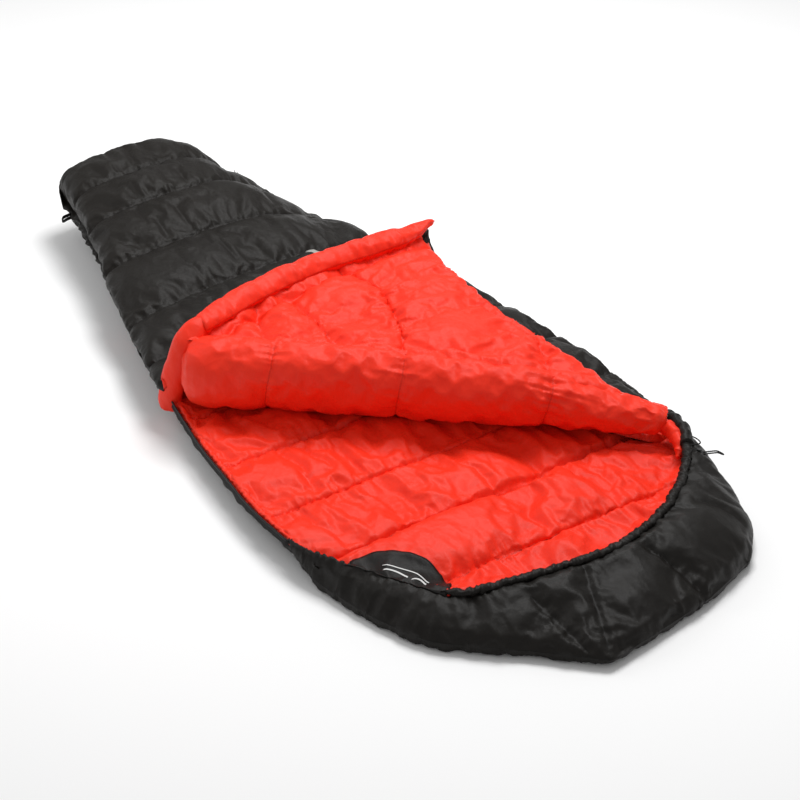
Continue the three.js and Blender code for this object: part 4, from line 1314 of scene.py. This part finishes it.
def half_moon(n_radius, n_angle):
    """Plan points of the patch beside the zip: rows from its middle out to its rim."""
    turn = math.radians(29.5)
    cos, sin = math.cos(turn), math.sin(turn)
    rows = []
    for r in np.linspace(0.0, 1.0, n_radius):
        a = np.linspace(0, math.pi, n_angle)
        u, v = 0.112 * r * np.cos(a), 0.092 * r * np.sin(a) ** 0.8
        rows.append(np.stack([0.708 + u * cos - v * sin, -0.360 + u * sin + v * cos], 1))
    return np.array(rows)


def build_patch(height):
    rows = half_moon(16, 40)
    n, m = rows.shape[:2]
    flat = rows.reshape(-1, 2)
    z = height(flat).reshape(n, m)
    for _ in range(6):
        z[1:-1, 1:-1] = (z[:-2, 1:-1] + z[2:, 1:-1] + z[1:-1, :-2] + z[1:-1, 2:]) / 4
    z = np.maximum(z, height(flat).reshape(n, m) - 0.001) + 0.0026
    z[-1] -= 0.0016
    top = np.dstack([rows, z]).reshape(-1, 3)
    low = top - [0, 0, 0.0022]
    faces = []
    for i in range(n - 1):
        for j in range(m - 1):
            a = i * m + j
            faces.append((a, a + 1, a + m + 1, a + m))
    k = n * m
    faces += [tuple(k + i for i in reversed(f)) for f in faces]
    rim = ([i * m for i in range(n)] + [(n - 1) * m + j for j in range(1, m)]
           + [i * m + m - 1 for i in range(n - 2, -1, -1)])
    faces += [(rim[i + 1], rim[i], k + rim[i], k + rim[i + 1]) for i in range(len(rim) - 1)]
    obj = new_mesh("neck_half_moon", np.vstack([top, low]), faces, [PANEL])
    face_outwards(obj, fill=True)
    trim(obj, "bag", "shell_fabric", "neck_patch")
    tree = surface_under(obj)
    spine = half_moon(2, 60)
    start, end = spine[1][0], spine[1][-1]
    away = spine[1][30] - (start + end) / 2
    bars = [(0.30, 0.76, 0.40), (0.34, 0.58, 0.26), (0.62, 0.76, 0.26)]
    for k, (a, b, up) in enumerate(bars):
        f = np.linspace(a, b, 24)
        arched = up + 0.10 * np.sin(math.pi * (f - a) / (b - a))
        plan = mix(end, start, f[:, None]) + away * arched[:, None]
        path = np.column_stack([plan, tree(plan) + 0.0007])
        side = np.array([*(away / np.linalg.norm(away)), 0])
        bar = ribbon(f"patch_bar_{k + 1}", path, side, 0.0042 if k else 0.0028, 0.0006, [PRINT])
        trim(bar, "bag", "shell_fabric")


def build_label(height):
    t = np.linspace(0, 1, 14)
    plan = np.stack([mix(-0.436, -0.350, t), mix(0.100, 0.176, t)], 1)
    path = np.column_stack([plan, height(plan) + 0.0015])
    trim(ribbon("care_label", path, (0.66, -0.75, 0), 0.020, 0.0010, [LABEL]), "bag",
         "black_webbing")


EXIT = np.array([0.676, 0.384, 0.090])
OUTWARDS = np.array([0.349, 0.937, 0.0])
SIDEWAYS = np.array([0.937, -0.349, 0.0])
STRAND = (0.0036, 0.062)  # half the strands' distance, and how far they run straight


def build_cord():
    apart, length = STRAND
    turn = np.linspace(0, math.pi, 12)
    one = [EXIT + OUTWARDS * s - SIDEWAYS * apart for s in np.linspace(-0.012, length, 14)]
    end = [EXIT + OUTWARDS * (length + 0.016 * math.sin(t)) - SIDEWAYS * apart * math.cos(t)
           - [0, 0, 0.010 * math.sin(t)] for t in turn[1:-1]]
    other = [EXIT + OUTWARDS * s + SIDEWAYS * apart for s in np.linspace(length, -0.012, 14)]
    path = smooth_path(np.array(one + end + other), 120)
    braid = lambda s, a: 0.00018 * np.sin(s * 2600 + 2 * a)
    trim(sleeve("hood_cord", path, 0.0015, 0.0015, [CORD], 10, braid), "hood", "cord",
         "hood_drawcord")
    loop = EXIT + np.array([-0.016, 0.004, 0.006])
    t = np.linspace(0, 1, 60)
    half, whole = np.sin(math.pi * t), 2 * math.pi * t
    small = loop + np.stack([0.016 * np.sin(whole), 0.030 * half,
                             0.018 * half + 0.006 * np.cos(whole)], 1)
    trim(sleeve("hood_cord_second", small, 0.0014, 0.0014, [CORD], 10, braid), "hood", "cord")


def build_hang_loops():
    for side, name, fall, hang in ((-1, "near", 0.006, 1.5), (1, "far", 0.062, 0.7)):
        lo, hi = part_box("hang_loop_" + name)
        z = (lo.z + hi.z) / 2
        x = (lo.x + hi.x) / 2
        inner = lo.y if side > 0 else hi.y
        outer = hi.y if side > 0 else lo.y
        half = (hi.x - lo.x) / 2 - 0.001
        a = np.linspace(0, math.pi, 14)
        bend = outer - side * half
        path = [(x - half, y, z) for y in np.linspace(inner, bend, 8)[:-1]]
        path += [(x - half * math.cos(t), bend + side * half * math.sin(t) * 0.95,
                  z - 0.004 * math.sin(t)) for t in a]
        path += [(x + half, y, z) for y in np.linspace(bend, inner, 8)[1:]]
        path = smooth_path(path, 48)
        out = np.clip(side * (path[:, 1] - inner) / abs(outer - inner), 0, 1)
        path[:, 2] -= fall * out ** hang
        path[:, 1] -= side * (0.5 if side < 0 else 0.8) * fall * out ** 2
        obj = ribbon("webbing_loop_" + name, path, (0, 0, 1), 0.0085, 0.0016, [TAPE], 0.0004)
        trim(obj, "hang_loop_" + name, "black_webbing", "hang_loop_" + name)


def dress_cad_nodes():
    finish = {"slider_upper": METAL, "slider_lower": METAL, "pull_lower": METAL,
              "cord_lock_spring": METAL, "pull_upper": PLASTIC, "cord_lock": PLASTIC,
              "cord_button": PLASTIC}
    for name, mat in finish.items():
        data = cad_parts[name].data
        data.materials.clear()
        data.materials.append(mat)


# ---- Build ----

top = build_top()
back = build_back()
build_foot()
flap = build_flap()
fold = build_fold()
roll = build_roll()
heel = build_heel()
build_fold_shell()
hood_panels = build_hood()
bowl = build_bowl()
rim = build_rim()
simulate()
finish_soft()

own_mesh(fold)
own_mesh(heel)
for piece in (fold, heel):
    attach(piece, "bag")
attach(roll, "flap")
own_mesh(flap)
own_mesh(roll)
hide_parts("draft_tube", "draft_tube_down")
build_zips()
build_side_piping()
build_neck()
gathers = build_neck_gather()
build_tab()
build_patch(surface_under(bowl, back, hood_panels))
build_label(surface_under(top))
build_hang_loops()
dress_cad_nodes()
for piece in [hood_panels, bowl, rim] + gathers:
    bend_with_hood(piece)
build_cord()

# ---- Floor, light, camera ----


CAMERA = {"azimuth": 58.13, "elevation": 31.69, "distance": 4.949,
          "target": (0.0489, 0.0635, 0), "lens": 99.0}
LIGHTS = (("softbox_above", (-0.6, 1.0, 3.2), (-0.1, 0, 0.1), (1.8, 1.4), 100),
          ("softbox_left", (-2.8, -2.2, 2.4), (0, 0, 0.1), (2.0, 2.0), 26))
SKY = 0.47


def add_floor():
    paint = Shader("pale_floor").finish({"Base Color": (0.94, 0.94, 0.94, 1),
                                         "Roughness": 0.9, "Specular IOR Level": 0.1})
    corners = [(-60, -60, 0), (60, -60, 0), (60, 60, 0), (-60, 60, 0)]
    new_mesh("floor", corners, [(0, 1, 2, 3)], [paint])


def add_light(name, location, target, size, power):
    data = bpy.data.lights.new(name, "AREA")
    data.shape = "RECTANGLE"
    data.size, data.size_y = size
    data.energy = power
    obj = bpy.data.objects.new(name, data)
    obj.location = location
    aim = Vector(target) - Vector(location)
    obj.rotation_euler = aim.to_track_quat("-Z", "Y").to_euler()
    SCENE.collection.objects.link(obj)


def add_camera():
    azimuth, elevation = math.radians(CAMERA["azimuth"]), math.radians(CAMERA["elevation"])
    back = Vector((math.sin(azimuth) * math.cos(elevation),
                   -math.cos(azimuth) * math.cos(elevation), math.sin(elevation)))
    data = bpy.data.cameras.new("camera")
    data.lens, data.sensor_width = CAMERA["lens"], 36.0
    data.clip_start, data.clip_end = 0.05, 300
    camera = bpy.data.objects.new("camera", data)
    camera.location = Vector(CAMERA["target"]) + back * CAMERA["distance"]
    camera.rotation_euler = (-back).to_track_quat("-Z", "Y").to_euler()
    SCENE.collection.objects.link(camera)
    SCENE.camera = camera


def add_world():
    world = bpy.data.worlds.new("studio")
    world.use_nodes = True
    shade = world.node_tree.nodes["Background"]
    shade.inputs["Color"].default_value = (1, 1, 1, 1)
    shade.inputs["Strength"].default_value = SKY
    SCENE.world = world


add_floor()
for light in LIGHTS:
    add_light(*light)
add_camera()
add_world()
SCENE.view_settings.view_transform = "Standard"
